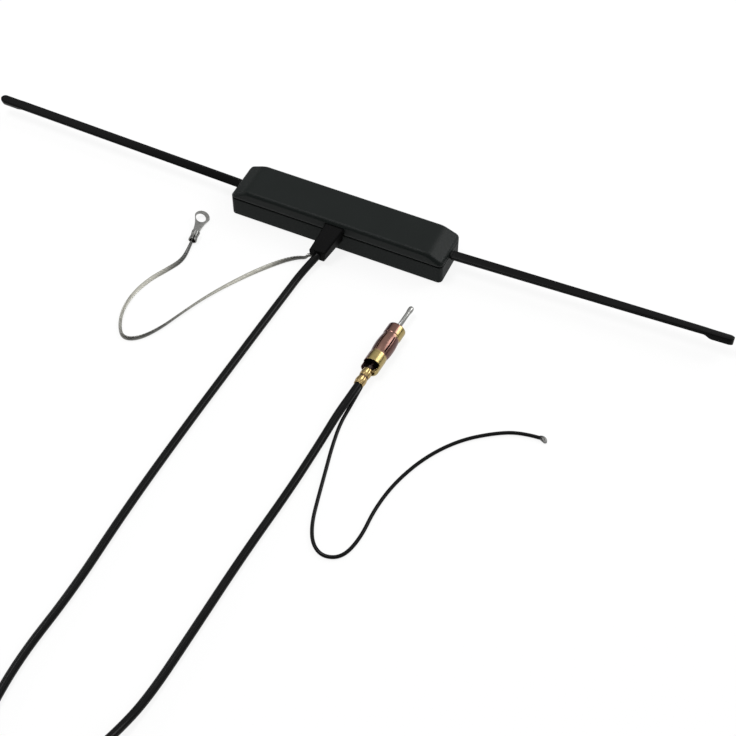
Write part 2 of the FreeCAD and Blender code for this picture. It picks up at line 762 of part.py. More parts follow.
def make_sleeve():
    body = new_body("plug_sleeve")
    neck = "(sleeve_radius - sleeve_neck_depth)"
    section = new_sketch(body, "sleeve_section", "XY_Plane")
    outline(section, [
        ("sleeve_start", sleeve_bore),
        ("sleeve_start", "sleeve_radius"),
        (sleeve_rear_end, "sleeve_radius"),
        (sleeve_bow_start, neck),
        (sleeve_bow_end, neck),
        (sleeve_front_start, "sleeve_radius"),
        (sleeve_front_end, "sleeve_radius"),
        (sleeve_front_end, sleeve_bore),
        (sleeve_front_start, sleeve_bore),
        (sleeve_bow_end, f"{neck} - sleeve_wall"),
        (sleeve_bow_start, f"{neck} - sleeve_wall"),
        (sleeve_rear_end, sleeve_bore),
    ], {3: "sleeve_bow_rise", 9: "sleeve_bow_rise"})
    revolve(body, "sleeve_round", section, "H_Axis")
    slot = block(body, "sleeve_slot", "Subtractive", "slot_length", "slot_width", "2 * sleeve_radius",
                 x=f"({sleeve_bow_start} + {sleeve_bow_end}) / 2 - slot_length / 2", y="-slot_width / 2")
    ring = body.newObject("PartDesign::PolarPattern", "sleeve_slots")
    ring.Originals = [slot]
    ring.Axis = (next(f for f in body.Origin.OriginFeatures if f.Role == "X_Axis"), [""])
    ring.Angle = 360
    bind(ring, Occurrences="slot_count")
    body.Tip = ring
    block(body, "sleeve_mouth", "Subtractive", "sleeve_opening", "4 * sleeve_radius", "2 * sleeve_radius",
          x="sleeve_start", y="-2 * sleeve_radius", z="mouth_low")
    return place_plug_piece(body, value("mouth_angle"))


def make_insulator_disc(label, front, length, bore):
    body = new_body(label)
    section = new_sketch(body, f"{label}_section", "XY_Plane")
    back = f"({front} - {length})"
    outline(section, [(back, bore), (back, sleeve_bore), (front, sleeve_bore), (front, bore)])
    revolve(body, f"{label}_round", section, "H_Axis")
    return place_plug_piece(body)


def make_insulators():
    pin_disc = make_insulator_disc("pin_insulator", f"({sleeve_front_end} - insulator_inset)", "insulator_length",
                                   "pin_radius")
    rear_disc = make_insulator_disc("rear_insulator", f"({sleeve_rear_end} - insulator_inset)", "insulator_rear",
                                    "coax_conductor")
    return group("plug_insulator", [pin_disc, rear_disc])


def make_pin():
    body = new_body("plug_pin")
    tip = f"({sleeve_front_end} + pin_reach)"
    section = new_sketch(body, "pin_section", "XY_Plane")
    outline(section, [
        ("pin_tail", "0"),
        ("pin_tail", "pin_radius"),
        (f"{tip} - pin_bulb_length", "pin_radius"),
        (f"{tip} - pin_bulb_length / 2", "pin_bulb"),
        (f"{tip} - pin_bulb / 2", "pin_bulb"),
        (tip, "pin_bulb / 2"),
        (tip, "0"),
    ])
    revolve(body, "pin_round", section, "H_Axis")
    return place_plug_piece(body)


def make_crimp():
    body = new_body("plug_crimp")
    outer = "(coax_radius + crimp_wall)"
    first = "(crimp_start + crimp_land)"
    second = f"({first} + crimp_bead_length + crimp_land)"
    barrel_end = f"({second} + crimp_bead_length + crimp_land / 2)"
    cone_end = f"({barrel_end} + crimp_cone)"
    section = new_sketch(body, "crimp_section", "XY_Plane")
    outline(section, [
        ("crimp_start", "coax_radius"),
        ("crimp_start", outer),
        (first, outer),
        (f"{first} + crimp_bead_length", outer),
        (second, outer),
        (f"{second} + crimp_bead_length", outer),
        (barrel_end, outer),
        (cone_end, sleeve_bore),
        (f"{cone_end} + crimp_seat", sleeve_bore),
        (f"{cone_end} + crimp_seat", f"{sleeve_bore} - crimp_wall"),
        (cone_end, f"{sleeve_bore} - crimp_wall"),
        (barrel_end, "coax_radius"),
    ], {2: "crimp_bead", 4: "crimp_bead"})
    revolve(body, "crimp_round", section, "H_Axis")
    block(body, "crimp_open_top", "Subtractive", f"2 * ({cone_end} - {barrel_end} + crimp_seat)",
          "4 * sleeve_radius", "2 * sleeve_radius", x=barrel_end, y="-2 * sleeve_radius", z="mouth_low")
    return place_plug_piece(body, value("mouth_angle"))


plug_coax_end = "(crimp_start + 2 * crimp_bead_length + 2.5 * crimp_land)"


def make_plug_core():
    body = new_body("plug_core")
    section = new_sketch(body, "plug_core_section", "XY_Plane")
    shoulder = f"({plug_coax_end} + 2 * strip_length)"
    outline(section, [
        (plug_coax_end, "0"),
        (plug_coax_end, "coax_dielectric"),
        (shoulder, "coax_dielectric"),
        (shoulder, "coax_conductor"),
        ("pin_tail", "coax_conductor"),
        ("pin_tail", "0"),
    ])
    revolve(body, "plug_core_round", section, "H_Axis")
    return place_plug_piece(body)


# Ring terminal: the eye lies about its own origin and the crimp barrel along its -X.
def terminal_placement():
    turn = FreeCAD.Rotation(value("terminal_angle"), 0, 0)
    return FreeCAD.Placement(Vector(value("terminal_x"), value("terminal_y"), 0), turn)


barrel_radius = "(earth_radius + terminal_barrel_wall)"


def make_terminal():
    body = new_body("ring_terminal")
    eye = new_sketch(body, "terminal_eye_plan", "XY_Plane")
    circle(eye, "terminal_radius")
    pad(body, "terminal_eye", eye, "terminal_sheet")
    block(body, "terminal_neck_strip", "Additive", "terminal_barrel_start", "terminal_neck", "terminal_sheet",
          x="-terminal_barrel_start", y="-terminal_neck / 2")
    rod(body, "terminal_barrel_round", "Additive", barrel_radius, "terminal_barrel", -along_x,
        x="-terminal_barrel_start", z=barrel_radius)
    rod(body, "terminal_barrel_bore", "Subtractive", "earth_radius", "terminal_barrel", -along_x,
        x="-terminal_barrel_start", z=barrel_radius)
    block(body, "terminal_barrel_slit", "Subtractive", "terminal_barrel", "terminal_slit", barrel_radius,
          x="-terminal_barrel_start - terminal_barrel", y="-terminal_slit / 2", z=barrel_radius)
    hole = new_sketch(body, "terminal_hole_plan", "XY_Plane", dz="terminal_sheet")
    circle(hole, "terminal_hole")
    pocket(body, "terminal_hole_pocket", hole, "terminal_sheet")
    body.Placement = terminal_placement()
    return body


# Put-away length of the coax: a ring of turns, with a straight lead off each side, and its tie.
coil_low = "tie_thickness"
coil_tall = "(coil_rows * coil_pitch)"
coil_half = "(coil_columns * coil_pitch / 2)"
coil_lead_place = "(coil_radius + (coil_columns - 1) * coil_pitch / 2)"
coil_first_row = "(tie_thickness + coil_pitch / 2)"
coil_last_row = "(tie_thickness + (coil_rows - 0.5) * coil_pitch)"


def make_coil():
    body = new_body("coax_coil")
    section = new_sketch(body, "coil_section", "XZ_Plane")
    outline(section, [
        (f"coil_radius - {coil_half}", coil_low),
        (f"coil_radius + {coil_half}", coil_low),
        (f"coil_radius + {coil_half}", f"{coil_low} + {coil_tall}"),
        (f"coil_radius - {coil_half}", f"{coil_low} + {coil_tall}"),
    ])
    revolve(body, "coil_turns", section, "V_Axis")
    rod(body, "coil_lead_in", "Additive", "coax_radius", "coil_lead", along_y,
        x=f"-{coil_lead_place}", z=coil_first_row)
    rod(body, "coil_lead_out", "Additive", "coax_radius", "coil_lead", along_y,
        x=coil_lead_place, z=coil_last_row)
    return bind(body, x="coil_x", y="coil_y")


def make_tie(coil):
    band = plain("Box", "tie_band", Length="tie_width", Width=f"2 * {coil_half} + 2 * tie_thickness",
                 Height=f"{coil_tall} + 2 * tie_thickness", x="coil_x - tie_width / 2",
                 y=f"coil_y - coil_radius - {coil_half} - tie_thickness")
    return cut("coil_tie", band, coil)


# Leads that lie free, as straight runs joined by arcs that are as large as the runs allow.
def lead_path(points):
    edges = []
    radii = []
    last = points[0]
    for before, corner, after in zip(points, points[1:], points[2:]):
        toward = (corner - before).normalize()
        onward = (after - corner).normalize()
        turn = math.acos(max(-1.0, min(1.0, toward.dot(onward))))
        trim = 0.45 * min((corner - before).Length, (after - corner).Length)
        radii.append(trim / math.tan(turn / 2))
        start = corner - toward * trim
        stop = corner + onward * trim
        bisector = (onward - toward).normalize()
        middle = corner + bisector * (radii[-1] / math.cos(turn / 2) - radii[-1])
        edges.append(Part.LineSegment(last, start).toShape())
        edges.append(Part.Arc(start, middle, stop).toShape())
        last = stop
    edges.append(Part.LineSegment(last, points[-1]).toShape())
    return Part.Wire(edges), radii


def make_lead(label, radius, points):
    path, radii = lead_path(points)
    round_end = Part.Circle(points[0], (points[1] - points[0]).normalize(), value(radius))
    lead = doc.addObject("Part::Feature", label)
    lead.Shape = path.makePipeShell([Part.Wire(round_end.toShape())], True, False)
    lead.Placement = FreeCAD.Placement()
    expected = math.pi * value(radius) ** 2 * path.Length
    print(f"{label}: length {path.Length:.1f}, smallest radius {min(radii):.1f}, "
          f"volume {lead.Shape.Volume / expected:.4f} of section times length")
    return lead


def coil_lead_end(side, row):
    across = value(coil_lead_place) * side
    return Vector(value("coil_x") + across, value("coil_y") + value("coil_lead"), value(row))


# Places on the glass that each lead passes, from its start to its end.
coax_out_route = [(-7.6, -49.0), (-9.3, -70.0), (-11.3, -104.0), (-13.2, -148.0), (-15.4, -196.0),
                  (-15.9, -240.0), (-18.2, -278.0)]
coax_back_route = [(39.0, -270.0), (41.2, -236.0), (43.4, -194.0), (45.6, -156.0), (47.0, -126.0)]
coax_drop = Vector(36.0, -290.0, 4.8)
coax_rise = Vector(47.6, -109.0, 3.2)
earth_drop = Vector(-12.1, -28.0, 2.4)
earth_route = [(-18.0, -31.7), (-23.6, -36.4), (-30.0, -45.0), (-37.0, -57.0), (-43.4, -69.5), (-49.0, -83.0),
               (-54.0, -96.5), (-60.0, -105.8), (-67.6, -108.8), (-74.2, -104.2), (-77.6, -94.4),
               (-77.6, -82.4), (-74.6, -70.8), (-70.0, -60.6), (-67.0, -52.6)]
power_drop = Vector(51.0, -102.6, 1.5)
power_route = [(50.8, -112.0), (53.0, -125.0), (56.2, -138.6), (59.4, -152.6), (62.9, -166.1), (67.9, -175.9),
               (74.9, -180.2), (82.4, -175.8), (84.9, -163.6), (84.4, -147.0), (87.0, -129.6), (94.0, -111.6),
               (104.6, -97.0), (117.0, -86.6), (128.6, -81.0), (138.0, -80.2)]


def on_floor(radius, route):
    return [Vector(x, y, value(radius)) for x, y in route]


def make_coax_lead_out():
    start = lead_end("coax")
    coil_start = coil_lead_end(-1, coil_first_row)
    points = [start, start + lead_outward("coax") * value("coax_straight")]
    points += on_floor("coax_radius", coax_out_route)
    points += [coil_start + along_y * value("coil_straight"), coil_start]
    return make_lead("coax_lead_out", "coax_radius", points)


def make_coax_lead_plug():
    coil_stop = coil_lead_end(1, coil_last_row)
    plug = plug_placement()
    points = [coil_stop, coil_stop + along_y * value("coil_straight"), coax_drop]
    points += on_floor("coax_radius", coax_back_route)
    points += [coax_rise, plug.multVec(Vector(value("-plug_straight"), 0, 0))]
    points.append(plug.multVec(Vector(value(plug_coax_end), 0, 0)))
    return make_lead("coax_lead_plug", "coax_radius", points)


def make_earth_lead():
    terminal = terminal_placement()
    height = value(barrel_radius)
    outer = value("-terminal_barrel_start - terminal_barrel - terminal_straight")
    inner = value("-terminal_barrel_start - terminal_slit")
    points = [earth_bend_path()[-1], earth_drop]
    points += on_floor("earth_radius", earth_route)
    points += [terminal.multVec(Vector(outer, 0, height)), terminal.multVec(Vector(inner, 0, height))]
    return make_lead("earth_lead", "earth_radius", points)


def make_power_lead():
    # the lead starts against the crimp's end face, low beside the coax
    plug = plug_placement()
    beside = value("coax_radius + power_radius + lead_clearance")
    angle = math.radians(value("power_angle"))
    start = plug.multVec(Vector(value("crimp_start"), -beside * math.cos(angle), -beside * math.sin(angle)))
    points = [start, start - plug.Rotation.multVec(along_x) * value("power_straight"), power_drop]
    points += on_floor("power_radius", power_route)
    tip = plain("Cylinder", "power_lead_tip", Radius="power_strand", Height="power_bare")
    tip.Placement = FreeCAD.Placement(points[-1], FreeCAD.Rotation(along_z, points[-1] - points[-2]))
    return [make_lead("power_lead", "power_radius", points), tip]


wires = {side: make_whip_wire(side, f"whip_reach_{side}") for side in whip_sides}
coil = make_coil()
earth_jacket = make_lead("earth_jacket", "earth_radius", earth_bend_path())
pieces = [
    make_lower_shell(),
    make_upper_cover(),
    make_screws(),
    make_pad(),
    make_board(),
    make_transistor(),
    make_choke(),
    make_capacitors(),
    make_resistors(),
    make_whip_clips(wires),
    make_lugs(),
    make_coax_entry(),
    make_earth_entry(earth_jacket),
    make_gland(earth_jacket),
    make_sleeve(),
    make_insulators(),
    make_pin(),
    make_crimp(),
    make_plug_core(),
    make_terminal(),
    coil,
    make_tie(coil),
]
pieces += [make_whip(side, f"whip_reach_{side}", wall_x) for side, wall_x in whip_sides.items()]
pieces += list(wires.values())
pieces += [make_coax_lead_out(), make_coax_lead_plug(), make_earth_lead()]
pieces += make_power_lead()
doc.recompute()

for thing in doc.Objects:
    if "Invalid" in thing.State or "Error" in thing.State:
        raise RuntimeError(f"{thing.Name} failed: {thing.State}")
for piece in pieces:
    if piece.Shape.isNull() or not piece.Shape.isValid() or piece.Shape.Volume <= 0:
        raise RuntimeError(f"{piece.Label} has no valid solid")

os.makedirs("parts", exist_ok=True)
for piece in pieces:
    piece.Shape.exportStep(f"parts/{piece.Label}.step")
    print(f"{piece.Label}: {len(piece.Shape.Solids)} solid, {piece.Shape.Volume:.1f} mm3")
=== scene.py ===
import json
import math
import bpy
import numpy as np
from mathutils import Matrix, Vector


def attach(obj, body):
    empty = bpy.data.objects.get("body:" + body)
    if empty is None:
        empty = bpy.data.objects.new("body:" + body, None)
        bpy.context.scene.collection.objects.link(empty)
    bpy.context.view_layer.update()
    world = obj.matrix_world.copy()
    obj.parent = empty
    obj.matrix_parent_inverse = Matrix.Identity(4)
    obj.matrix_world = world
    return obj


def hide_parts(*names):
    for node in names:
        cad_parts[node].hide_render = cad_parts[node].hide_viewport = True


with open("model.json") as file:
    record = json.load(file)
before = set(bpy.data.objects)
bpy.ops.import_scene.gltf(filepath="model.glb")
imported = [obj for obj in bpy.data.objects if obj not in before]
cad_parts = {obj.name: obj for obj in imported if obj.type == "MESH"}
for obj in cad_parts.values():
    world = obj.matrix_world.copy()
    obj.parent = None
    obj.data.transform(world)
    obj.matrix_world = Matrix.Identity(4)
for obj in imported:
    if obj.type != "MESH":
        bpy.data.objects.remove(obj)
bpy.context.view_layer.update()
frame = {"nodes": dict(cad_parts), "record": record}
scene = bpy.context.scene
mm = 0.001


class Socket:  # a shader socket that takes part in Python arithmetic
    def __init__(self, tree, socket):
        self.tree = tree
        self.socket = socket

    def node(self, kind, settings=None, sockets=None, out=0):  # any other node: settings first, then its sockets
        made = self.tree.nodes.new(kind)
        for key, setting in (settings or {}).items():
            if key == "stops":
                ramp = made.color_ramp.elements
                while len(ramp) < len(setting):
                    ramp.new(0.5)
                for element, (place, colour) in zip(ramp, setting):
                    element.position = place
                    element.color = (*colour, 1.0)
            else:
                setattr(made, key, setting)
        for key, given in (sockets or {}).items():
            if isinstance(given, Socket):
                self.tree.links.new(given.socket, made.inputs[key])
            else:
                made.inputs[key].default_value = given
        return Socket(self.tree, made.outputs[out])

    def math(self, operation, first, second):
        return self.node("ShaderNodeMath", {"operation": operation}, {0: first, 1: second})

    def eased(self, given, span, values):  # runs smoothly from one value to the other over a span
        return self.node("ShaderNodeMapRange", {"interpolation_type": "SMOOTHSTEP"},
                         {"Value": given, "From Min": span[0], "From Max": span[1],
                          "To Min": values[0], "To Max": values[1]})

    def noise(self, place, scale, detail):
        return self.node("ShaderNodeTexNoise", None, {"Vector": place, "Scale": scale, "Detail": detail})

    def dot(self, first, second):
        return self.node("ShaderNodeVectorMath", {"operation": "DOT_PRODUCT"}, {0: first, 1: second}, out=1)

    def __add__(self, other):
        return self.math("ADD", self, other)

    def __radd__(self, other):
        return self.math("ADD", other, self)

    def __sub__(self, other):
        return self.math("SUBTRACT", self, other)

    def __rsub__(self, other):
        return self.math("SUBTRACT", other, self)

    def __mul__(self, other):
        return self.math("MULTIPLY", self, other)

    def __rmul__(self, other):
        return self.math("MULTIPLY", other, self)


def newMaterial(name):  # an empty material and its surface shader
    material = bpy.data.materials.new(name)
    material.use_nodes = True
    tree = material.node_tree
    shader = tree.nodes["Principled BSDF"]
    return material, Socket(tree, None), shader


def plug(given, socket):  # a link into a shader's own socket
    given.tree.links.new(given.socket, socket)


print("materials")
finishForm = {"toneStops": (0.3, 0.7), "patchTone": 0.7, "fineTone": 0.3, "patchDetail": 3.0, "fineDetail": 2.0,
              "patchRough": 0.08, "fineRough": 0.16, "roughShift": 0.12, "edgeSamples": 6}


def finish(name, dark, light, rough, grain, depth, metal=0.0, patch=60.0, gloss=0.5, edge=0.0):
    # colour runs between two tones over soft patches; fine noise makes the grain and stirs the roughness
    f = finishForm
    material, nodes, shader = newMaterial(name)
    place = nodes.node("ShaderNodeTexCoord", out=3)
    patches = nodes.noise(place, patch, f["patchDetail"])
    fine = nodes.noise(place, grain, f["fineDetail"])
    tones = nodes.node("ShaderNodeValToRGB", {"stops": list(zip(f["toneStops"], (dark, light)))},
                       {"Fac": patches * f["patchTone"] + fine * f["fineTone"]})
    plug(tones, shader.inputs["Base Color"])
    plug(fine * f["fineRough"] + patches * f["patchRough"] + (rough - f["roughShift"]), shader.inputs["Roughness"])
    relief = {"Strength": 1.0, "Distance": depth, "Height": fine}
    if edge:
        relief["Normal"] = nodes.node("ShaderNodeBevel", {"samples": f["edgeSamples"]}, {"Radius": edge})
    plug(nodes.node("ShaderNodeBump", None, relief), shader.inputs["Normal"])
    shader.inputs["Metallic"].default_value = metal
    shader.inputs["Specular IOR Level"].default_value = gloss
    return material


finishes = {
    "housing": dict(dark=(0.0042, 0.0062, 0.0056), light=(0.0056, 0.0080, 0.0074), rough=0.42, grain=2600.0,
                    depth=0.00003, gloss=0.145, edge=0.0014),
    "shell": dict(dark=(0.0042, 0.0062, 0.0056), light=(0.0056, 0.0080, 0.0074), rough=0.60, grain=2600.0,
                  depth=0.00003, gloss=0.13, edge=0.0008),
    "whip": dict(dark=(0.0026, 0.0026, 0.0027), light=(0.0036, 0.0036, 0.0037), rough=0.42, grain=1800.0,
                 depth=0.00001, gloss=0.08),
    "gland": dict(dark=(0.0030, 0.0030, 0.0031), light=(0.0042, 0.0042, 0.0043), rough=0.44, grain=1500.0,
                  depth=0.00002, gloss=0.03, edge=0.0004),
    "jacket": dict(dark=(0.0034, 0.0034, 0.0035), light=(0.0048, 0.0048, 0.0049), rough=0.26, grain=1400.0,
                   depth=0.000005, gloss=0.10),
    "tinned": dict(dark=(0.06, 0.06, 0.058), light=(0.34, 0.335, 0.32), rough=0.34, grain=3000.0, depth=0.00002,
                   metal=0.8, patch=900.0),
    "terminal": dict(dark=(0.15, 0.15, 0.145), light=(0.25, 0.25, 0.24), rough=0.34, grain=2600.0, depth=0.000006,
                     metal=1.0, patch=700.0),
    "sleeve": dict(dark=(0.22, 0.13, 0.08), light=(0.42, 0.29, 0.12), rough=0.26, grain=6000.0, depth=0.000005,
                   metal=1.0),
    "pin": dict(dark=(0.28, 0.28, 0.27), light=(0.34, 0.34, 0.33), rough=0.26, grain=3000.0, depth=0.0000006,
                metal=1.0),
    # near black plastic; in the sleeve's mouth its darkness also stands in for the shade deep in the bore
    "insulator": dict(dark=(0.010, 0.007, 0.008), light=(0.018, 0.012, 0.013), rough=0.5, grain=1200.0,
                      depth=0.00002),
    # painted shade: the inner walls of sleeve, crimp and barrel are a darker copy of their metal
    "inside": dict(dark=(0.040, 0.022, 0.026), light=(0.066, 0.038, 0.042), rough=0.42, grain=6000.0, depth=0.00001,
                   metal=0.5),
    # painted shade: the plug's core is a dark copy, standing for the shade inside the sleeve's mouth
    "shadedCore": dict(dark=(0.045, 0.026, 0.022), light=(0.075, 0.045, 0.036), rough=0.5, grain=1400.0, depth=0.00001),
    "board": dict(dark=(0.02, 0.10, 0.035), light=(0.03, 0.14, 0.05), rough=0.4, grain=900.0, depth=0.00002),
    "electronics": dict(dark=(0.02, 0.02, 0.02), light=(0.035, 0.035, 0.035), rough=0.45, grain=1600.0,
                        depth=0.00001),
    "copper": dict(dark=(0.50, 0.24, 0.12), light=(0.66, 0.36, 0.20), rough=0.32, grain=1800.0, depth=0.00001,
                   metal=1.0),
    "can": dict(dark=(0.5, 0.5, 0.52), light=(0.62, 0.62, 0.64), rough=0.3, grain=1600.0, depth=0.00001, metal=1.0),
    "steel": dict(dark=(0.40, 0.40, 0.41), light=(0.52, 0.52, 0.53), rough=0.36, grain=1800.0, depth=0.00001,
                  metal=1.0),
    "foam": dict(dark=(0.012, 0.012, 0.012), light=(0.022, 0.022, 0.022), rough=0.85, grain=1800.0, depth=0.00015),
    "tie": dict(dark=(0.006, 0.006, 0.006), light=(0.010, 0.010, 0.010), rough=0.45, grain=1200.0, depth=0.00001,
                gloss=0.3),
}
made = {name: finish(name, **look) for name, look in finishes.items()}


strandForm = {"grimeScale": 420.0, "grimeDetail": 4.0, "broadSheenPart": 0.62, "grimePart": 0.36, "base": -0.1,
              "toneStops": (0.1, 0.9), "rough": 0.24, "grimeRough": 0.2, "relief": 0.6, "reliefDepth": 0.00004,
              "strandRelief": 0.7, "grimeRelief": 0.3, "metal": 0.55, "coat": 0.5, "coatRough": 0.15}


def strandLook(name, e):
    # pale with painted sheen where a flat lead shows its broad side, dark with painted shade where it turns over and
    # near its ends, with a painted shade line in each groove between strands
    f = strandForm
    material, nodes, shader = newMaterial(name)
    lay = nodes.node("ShaderNodeSeparateXYZ", None, {0: nodes.node("ShaderNodeTexCoord", out=2)})
    share = Socket(lay.tree, lay.socket.node.outputs[1])
    grime = nodes.noise(nodes.node("ShaderNodeTexCoord", out=3), f["grimeScale"], f["grimeDetail"])
    early = nodes.math("POWER", math.e, share * (-1.0 / e["turnFade"])) * e["turnEarly"]
    turns = share * e["turnRate"] + share * share * e["turnGain"] + e["turnFrom"] - early
    # painted sheen and shade: the broad side is pale and the edge-on side dark, as light would fall on them
    broadSheen = nodes.math("COSINE", turns * (2 * math.pi), 0.0) * 0.5 + 0.5
    # partly the strands' own pattern, partly painted shade in the grooves between them
    strand = nodes.math("COSINE", (lay - share * e["winds"]) * (2 * math.pi * e["strands"]), 0.0) * 0.5 + 0.5
    # painted shade near the lead's start and its end, where it meets the gland or the jacket and the terminal
    fromStart = nodes.eased(share, e["startShade"][:2], (e["startShade"][2], 1.0))
    toEnd = nodes.eased(share, e["endShade"][:2], (1.0, e["endShade"][2]))
    tone = broadSheen * f["broadSheenPart"] + strand * e["strandShadePart"] + grime * f["grimePart"] + f["base"]
    tones = nodes.node("ShaderNodeValToRGB", {"stops": list(zip(f["toneStops"], (e["edgeOnShadeTone"], e["broadSheenTone"])))},
                       {"Fac": tone * fromStart * toEnd})
    plug(tones, shader.inputs["Base Color"])
    plug(grime * f["grimeRough"] + f["rough"], shader.inputs["Roughness"])
    relief = nodes.node("ShaderNodeBump", None, {"Strength": f["relief"], "Distance": f["reliefDepth"],
                                                 "Height": strand * f["strandRelief"] + grime * f["grimeRelief"]})
    plug(relief, shader.inputs["Normal"])
    shader.inputs["Metallic"].default_value = f["metal"]
    shader.inputs["Coat Weight"].default_value = f["coat"]
    shader.inputs["Coat Roughness"].default_value = f["coatRough"]
    return material


plateForm = {"bowFade": (0.85, 1.15), "gapFade": (0.4, 1.6), "frontFade": 0.001, "patchDetail": 3.0, "patchTone": 0.24,
             "fineScale": 2400.0, "fineDetail": 2.0, "fineTone": 0.06, "shadeSpan": (-0.40, -0.75), "base": -0.15,
             "patchRough": 0.1, "fineRough": 0.12, "relief": 0.3, "reliefDepth": 0.000004}


def platedLook(name, p):
    # yellow passivated plating: olive and gold on the rings, mauve on the bowed leaves, which darken towards the
    # right; the gold on the front ring's right side is partly a painted highlight, and a painted shade darkens the
    # plug's left side
    f = plateForm
    material, nodes, shader = newMaterial(name)
    place = nodes.node("ShaderNodeTexCoord", out=3)
    along = nodes.dot(place, p["axis"])
    across = (nodes.dot(place, p["right"]) - p["rightAt"]) * (1.0 / p["reach"])
    patches = nodes.noise(place, p["patch"], f["patchDetail"])
    fine = nodes.noise(place, f["fineScale"], f["fineDetail"])
    fromBow = nodes.math("ABSOLUTE", along - p["bowMiddle"], 0.0)
    onBow = nodes.eased(fromBow, [p["bowHalf"] * part for part in f["bowFade"]], (1.0, 0.0))
    front = nodes.node("ShaderNodeMapRange", None, {"Value": along, "From Min": p["bowMiddle"] - f["frontFade"],
                                                    "From Max": p["bowMiddle"] + f["frontFade"]})
    # the front ring runs from mauve on its left to gold on its right: partly the plating's tint, partly a painted
    # highlight
    ringTintAndGlint = p["rearTint"] + (nodes.eased(across, p["ringGlintTurn"], p["ringTintAndGlint"]) - p["rearTint"]) * front
    bowTint = p["bowTint"][0] + across * p["bowTint"][1]
    # painted shade: the plug's left side is darkened
    paintedShade = nodes.eased(across, f["shadeSpan"], (f["base"], f["base"] + p["shadeTint"]))
    tint = ringTintAndGlint + (bowTint - ringTintAndGlint) * onBow + patches * f["patchTone"] + fine * f["fineTone"] + paintedShade
    tones = nodes.node("ShaderNodeValToRGB", {"stops": p["tones"]}, {"Fac": tint})
    # painted shade: a dark band in the groove between the crimp's two bead rows
    if "gap" in p:
        fromGap = nodes.math("ABSOLUTE", along - p["gap"], 0.0)
        outsideGapShade = nodes.eased(fromGap, [p["gapHalf"] * part for part in f["gapFade"]], (0.0, 1.0))
        tones = nodes.node("ShaderNodeMix", {"data_type": "RGBA"},
                           {0: outsideGapShade, 6: (*p["gapShadeTone"], 1.0), 7: tones}, out=2)
    plug(tones, shader.inputs["Base Color"])
    plug(fine * f["fineRough"] + patches * f["patchRough"] + p["rough"], shader.inputs["Roughness"])
    relief = {"Strength": f["relief"], "Distance": f["reliefDepth"], "Height": fine}
    plug(nodes.node("ShaderNodeBump", None, relief), shader.inputs["Normal"])
    shader.inputs["Metallic"].default_value = 1.0
    return material


slots = {entry["node"]: entry["material_slot"] for entry in frame["record"]["subparts"]}
# the plug's core takes painted shade; the shell is rougher
ownLooks = {"plug_core": "shadedCore", "lower_shell": "shell"}  # nodes that differ from the rest of their slot
for node, obj in frame["nodes"].items():
    obj.data.materials.clear()
    obj.data.materials.append(made[ownLooks.get(node, slots[node])])


print("camera")
view = {"eye": (234.25, -477.6, 566.8), "target": (48.45, -75.7, 0.0), "focalPixels": 1500.0, "imagePixels": 736.0}
cameraData = bpy.data.cameras.new("camera")
cameraData.sensor_fit = "HORIZONTAL"
cameraData.sensor_width = 36.0
cameraData.lens = cameraData.sensor_width * view["focalPixels"] / view["imagePixels"]
cameraData.clip_end = 20.0
camera = bpy.data.objects.new("camera", cameraData)
scene.collection.objects.link(camera)
eye = Vector(view["eye"]) * mm
camera.location = eye
camera.rotation_euler = (Vector(view["target"]) * mm - eye).to_track_quat("-Z", "Y").to_euler()
scene.camera = camera


print("leads")


def nurbsLine(name, points, radius=0.0, steps=8):  # an open spline with the route's points as its control points
    data = bpy.data.curves.new(name, "CURVE")
    data.dimensions = "3D"
    data.resolution_u = steps
    data.bevel_depth = radius
    data.bevel_resolution = 5
    data.use_fill_caps = True
    spline = data.splines.new("NURBS")
    spline.points.add(len(points) - 1)
    spline.points.foreach_set("co", np.c_[points, np.ones(len(points))].ravel())
    spline.order_u = 3
    spline.use_endpoint_u = True
    piece = bpy.data.objects.new(name, data)
    scene.collection.objects.link(piece)
    return piece


def readLine(curve, spacing):  # points at even steps of length along a spline, read from it as a mesh
    mesh = bpy.data.meshes.new_from_object(curve)
    points = np.empty(len(mesh.vertices) * 3)
    mesh.vertices.foreach_get("co", points)
    bpy.data.meshes.remove(mesh)
    points = points.reshape(-1, 3)
    run = np.r_[0.0, np.cumsum(np.linalg.norm(np.diff(points, axis=0), axis=1))]
    stops = np.linspace(0.0, run[-1], max(3, int(run[-1] / spacing)))
    return np.stack([np.interp(stops, run, points[:, axis]) for axis in range(3)], axis=1)


def carried(line, acrossLine, overLine):
    # a profile carried along a line: each point is the line's own, plus so far to its right and so far above it
    ahead = np.gradient(line, axis=0)
    ahead /= np.linalg.norm(ahead, axis=1)[:, None]
    right = np.cross(ahead, (0.0, 0.0, 1.0))
    right /= np.linalg.norm(right, axis=1)[:, None]
    above = np.cross(right, ahead)
    return line[:, None] + acrossLine[:, :, None] * right[:, None] + overLine[:, :, None] * above[:, None]


